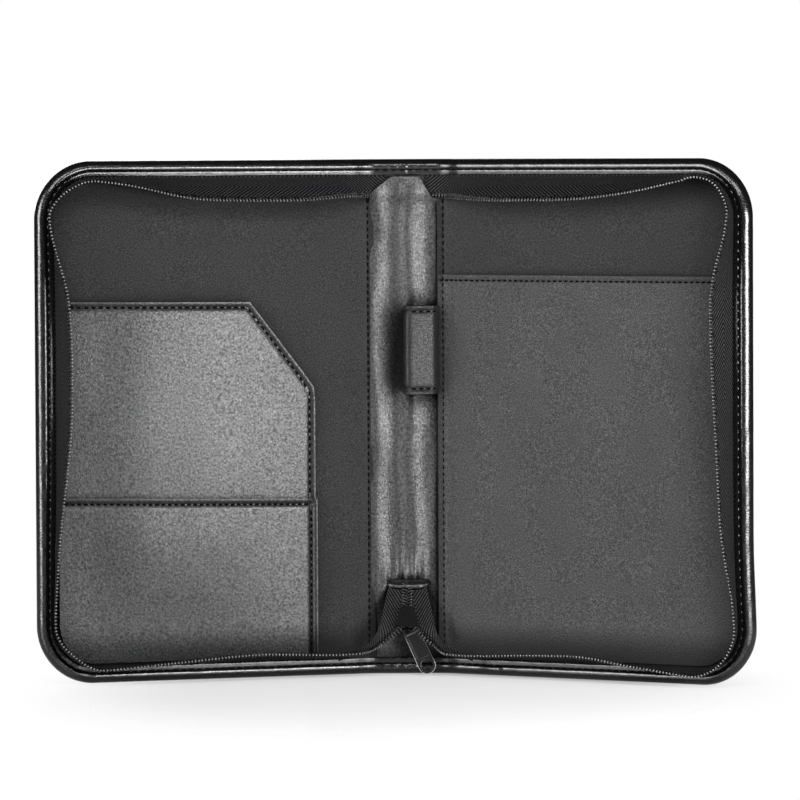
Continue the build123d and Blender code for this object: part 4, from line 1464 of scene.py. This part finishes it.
class PADFOLIO_OT_zip_tapes(bpy.types.Operator):
    """Make the two herringbone zip tapes, from the slit round the covers to the strip's head."""

    bl_idname = "padfolio.zip_tapes"
    bl_label = "Zip tapes"

    def execute(self, context):
        for side, sign in SIDES.items():
            sewn, bend, edge, _, _, _, out = zip_frames(side)
            way = way_along(edge)
            wave = uneven(way, 0 * way, 26 * MM, 61 + sign)
            columns, grain = [sewn], [0 * way - 2.6 * MM]
            for v in np.linspace(0, 1, 9):
                bow = (0.45 + 0.3 * wave) * MM * math.sin(math.pi * v)
                columns.append(bend + v * (edge - bend) + bow[:, None] * out)
                grain.append(v * np.linalg.norm(edge - bend, axis=1))
            flat = np.stack(columns, 1)
            laid = np.stack(np.broadcast_arrays(np.stack(grain, 1), way[:, None], 0.0), -1)
            area = grid_area(to_row(flat))
            flat[..., 0] *= sign
            # the right side's faces run the other way round
            faces = grid_faces(*flat.shape[:2])[:, ::-sign]
            tape = add_piece(f"{side}_herringbone_tape", to_row(flat), faces, tape_cloth(), laid)
            thicken(tape, TAPE_CLOTH, 0.1 * MM)
            cross_fold(tape, side)
            nodes = [f"{side}_zip_tape", f"{side}_zip_end"]
            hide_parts(*nodes, *(["zip_tail_tape", "zip_top_ends"] if side == "left" else []))
            wide, long = sizes().tape_width + 2.7 * MM, float(way[-1])
            cut_area(area, wide, long)
        return {"FINISHED"}


def rounded_bar(rings=5, sides=6):
    """A small rounded bar along its first axis, 2 long and 2 thick, and its faces."""
    turn = np.arange(sides) * 2 * math.pi / sides
    points = []
    for t in np.linspace(-1, 1, rings):
        thick = (1 - abs(t) ** 3) ** 0.5 if abs(t) < 1 else 0.35
        points.append(np.stack([np.full(sides, t), thick * np.cos(turn), thick * np.sin(turn)], -1))
    return np.concatenate(points), tube_faces(rings, sides)


def add_bars(name, places, material, mirrored):
    """One mesh of rounded bars; each place is a middle and three half-size directions, in flat points."""
    shape, shape_faces = rounded_bar()
    points, faces = [], []
    for middle, long, wide, high in places:
        base = len(points) * len(shape)
        points.append(middle + shape @ np.stack([long, wide, high]))
        faces += [[base + k for k in (face[::-1] if mirrored else face)] for face in shape_faces]
    flat = np.concatenate(points)
    if mirrored:
        flat[:, 0] *= -1
    return add_piece(name, to_row(flat), faces, material, np.tile(shape, (len(points), 1)))


def add_coil(side, sign):
    """One half's coil outside the closed tail, turn by turn, and the thread that sews it to the tape."""
    _, _, edge, tail_count, along, across, out = zip_frames(side)
    lines = [line[tail_count:] for line in (edge, along, across, out)]
    way = way_along(lines[0])
    turns, stitches = [], []
    for at in np.arange(0.6 * MM, way[-1] - 3 * MM, sizes().tooth_pitch):
        middle, ahead, over, face = (
            np.array([np.interp(at, way, line[:, axis]) for axis in range(3)]) for line in lines
        )
        over, face = over / np.linalg.norm(over), face / np.linalg.norm(face)
        turns.append((middle - 0.1 * MM * over - 0.35 * MM * face, over * 1.45 * MM + ahead * 0.22 * MM,
                      ahead * 0.55 * MM, face * 0.95 * MM))
        stitches.append((middle - 2.1 * MM * over - 0.25 * MM * face, ahead * 0.62 * MM,
                         over * 0.24 * MM, face * 0.3 * MM))
    coil = add_bars(f"{side}_coil_turns", turns, coil_plastic(), sign < 0)
    sewing = add_bars(f"{side}_coil_sewing", stitches, sewing_thread(), sign < 0)
    for piece in (coil, sewing):
        cross_fold(piece, side)
    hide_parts(f"{side}_zip_coil")


def add_tail_coil():
    """The two meshed rows of the closed tail."""
    first, pitch, count = 4.3 * MM, 1.55 * MM, 8
    down = tail_point(0, 1) - tail_point(0, 0)
    out = tail_point(0, 0, 1) - tail_point(0, 0)
    places = []
    for sign in (1, -1):
        slant = np.array([sign, 0, 0]) * 1.5 * MM - down * 0.55 * MM
        for index in range(count):
            middle = tail_point(sign * 1.35 * MM, first + (index + 0.25 * sign) * pitch, 1.05 * MM)
            places.append((middle, slant, down * 0.52 * MM, out * 0.75 * MM))
    chain = add_bars("tail_coil_turns", places, tail_coil_plastic(), False)
    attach(chain, "spine")
    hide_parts("zip_tail_coil")


class PADFOLIO_OT_zip_coils(bpy.types.Operator):
    """Make the coil's turns along both toothed edges and the two meshed rows of the closed tail."""

    bl_idname = "padfolio.zip_coils"
    bl_label = "Zip coils"

    def execute(self, context):
        for side, sign in SIDES.items():
            add_coil(side, sign)
        add_tail_coil()
        return {"FINISHED"}


class PADFOLIO_OT_slider(bpy.types.Operator):
    """Finish the die-cast slider, its bail and the pull in black paint, with softened edges."""

    bl_idname = "padfolio.slider"
    bl_label = "Slider and pull"

    def execute(self, context):
        castings = {
            "slider_body": (TAIL_LEAN, 0, slider_painted_highlight),
            "slider_bail": (0, 0, None),
            "pull_tab": (0, PULL_TILT, pull_painted_highlights),
        }
        for name, (lean, tilt, painted_glints) in castings.items():
            node = frame["nodes"][name]
            # the second material is black paint with painted highlights along some edges
            rubbed = edge_painted_highlight(f"{name}_rubbed_edge", node, lean, tilt, painted_glints) if painted_glints else slider_paint()
            node.data.materials.clear()
            node.data.materials.append(slider_paint())
            node.data.materials.append(rubbed)
            node.modifiers.new("joined faces", "WELD").merge_threshold = 0.002 * MM
            edge = soften_edges(node, 0.2 * MM, 40)
            edge.harden_normals, edge.material = True, 1
        return {"FINISHED"}


def add_floor():
    """A wide floor just under the folder."""
    reach = np.linspace(-6, 6, 13)
    x, y = np.meshgrid(reach, reach)
    points = np.stack([x, y, 0 * x - 0.2 * MM], -1)
    add_piece("studio_floor", points, grid_faces(*x.shape), studio_floor("studio_floor_white"))


def white_surroundings():
    """A world that the camera sees white and that hardly lights the folder."""
    world = bpy.data.worlds.new("studio_white")
    s = Shader(world)
    seen = s.mix(s.ray("Camera"), (0.03, 0.03, 0.03, 1), (1, 1, 1, 1))
    s.node("ShaderNodeOutputWorld", {"Surface": s.node("ShaderNodeBackground", {"Color": seen})})
    return world


def add_softbox(name, place, aim, width, height, power):
    data = bpy.data.lights.new(name, "AREA")
    data.shape, data.size, data.size_y, data.energy = "RECTANGLE", width, height, power
    light = bpy.data.objects.new(name, data)
    light.location, light.visible_camera = place, False
    light.rotation_euler = (Vector(aim) - Vector(place)).to_track_quat("-Z", "Y").to_euler()
    bpy.context.scene.collection.objects.link(light)


def add_camera():
    ahead = (TARGET - EYE).normalized()
    right = ahead.cross(Vector((0, 0, 1))).normalized()
    up = right.cross(ahead)
    cos, sin = math.cos(ROLL), math.sin(ROLL)
    right, up = right * cos + up * sin, up * cos - right * sin
    data = bpy.data.cameras.new("photo_camera")
    data.sensor_width, data.lens, data.clip_end = SENSOR, LENS, 50
    camera = bpy.data.objects.new("photo_camera", data)
    camera.matrix_world = Matrix.Translation(EYE) @ Matrix((right, up, -ahead)).transposed().to_4x4()
    bpy.context.scene.collection.objects.link(camera)
    return camera


class PADFOLIO_OT_stage(bpy.types.Operator):
    """Set up the floor, the soft lights, the white surroundings and the camera."""

    bl_idname = "padfolio.stage"
    bl_label = "Stage"

    def execute(self, context):
        scene = context.scene
        add_floor()
        scene.world = white_surroundings()
        for name, settings in SOFTBOXES.items():
            add_softbox(name, *settings)
        scene.camera = add_camera()
        scene.view_settings.view_transform = "Standard"
        return {"FINISHED"}


class PADFOLIO_PT_panel(bpy.types.Panel):
    """Sizes, colours and steps of the padfolio."""

    bl_idname = "PADFOLIO_PT_panel"
    bl_label = "Padfolio"
    bl_space_type = "VIEW_3D"
    bl_region_type = "UI"
    bl_category = "Padfolio"

    def draw(self, context):
        for group in (context.scene.padfolio_sizes, context.scene.padfolio_colours):
            box = self.layout.box()
            for name in group.__annotations__:
                box.prop(group, name)
        for step in STEPS:
            self.layout.operator(step.bl_idname)


STEPS = (
    PADFOLIO_OT_cover_skins,
    PADFOLIO_OT_linings,
    PADFOLIO_OT_spine_strip,
    PADFOLIO_OT_pockets,
    PADFOLIO_OT_pen_loop,
    PADFOLIO_OT_bindings,
    PADFOLIO_OT_zip_tapes,
    PADFOLIO_OT_zip_coils,
    PADFOLIO_OT_slider,
    PADFOLIO_OT_stage,
)
CLASSES = (PadfolioSizes, PadfolioColours, *STEPS, PADFOLIO_PT_panel)


def register():
    for item in CLASSES:
        bpy.utils.register_class(item)
    bpy.types.Scene.padfolio_sizes = bpy.props.PointerProperty(type=PadfolioSizes)
    bpy.types.Scene.padfolio_colours = bpy.props.PointerProperty(type=PadfolioColours)


def unregister():
    del bpy.types.Scene.padfolio_colours
    del bpy.types.Scene.padfolio_sizes
    for item in reversed(CLASSES):
        bpy.utils.unregister_class(item)


def main():
    register()
    bpy.ops.padfolio.cover_skins()
    bpy.ops.padfolio.linings()
    bpy.ops.padfolio.spine_strip()
    bpy.ops.padfolio.pockets()
    bpy.ops.padfolio.pen_loop()
    bpy.ops.padfolio.bindings()
    bpy.ops.padfolio.zip_tapes()
    bpy.ops.padfolio.zip_coils()
    bpy.ops.padfolio.slider()
    bpy.ops.padfolio.stage()


if __name__ == "__main__":
    main()
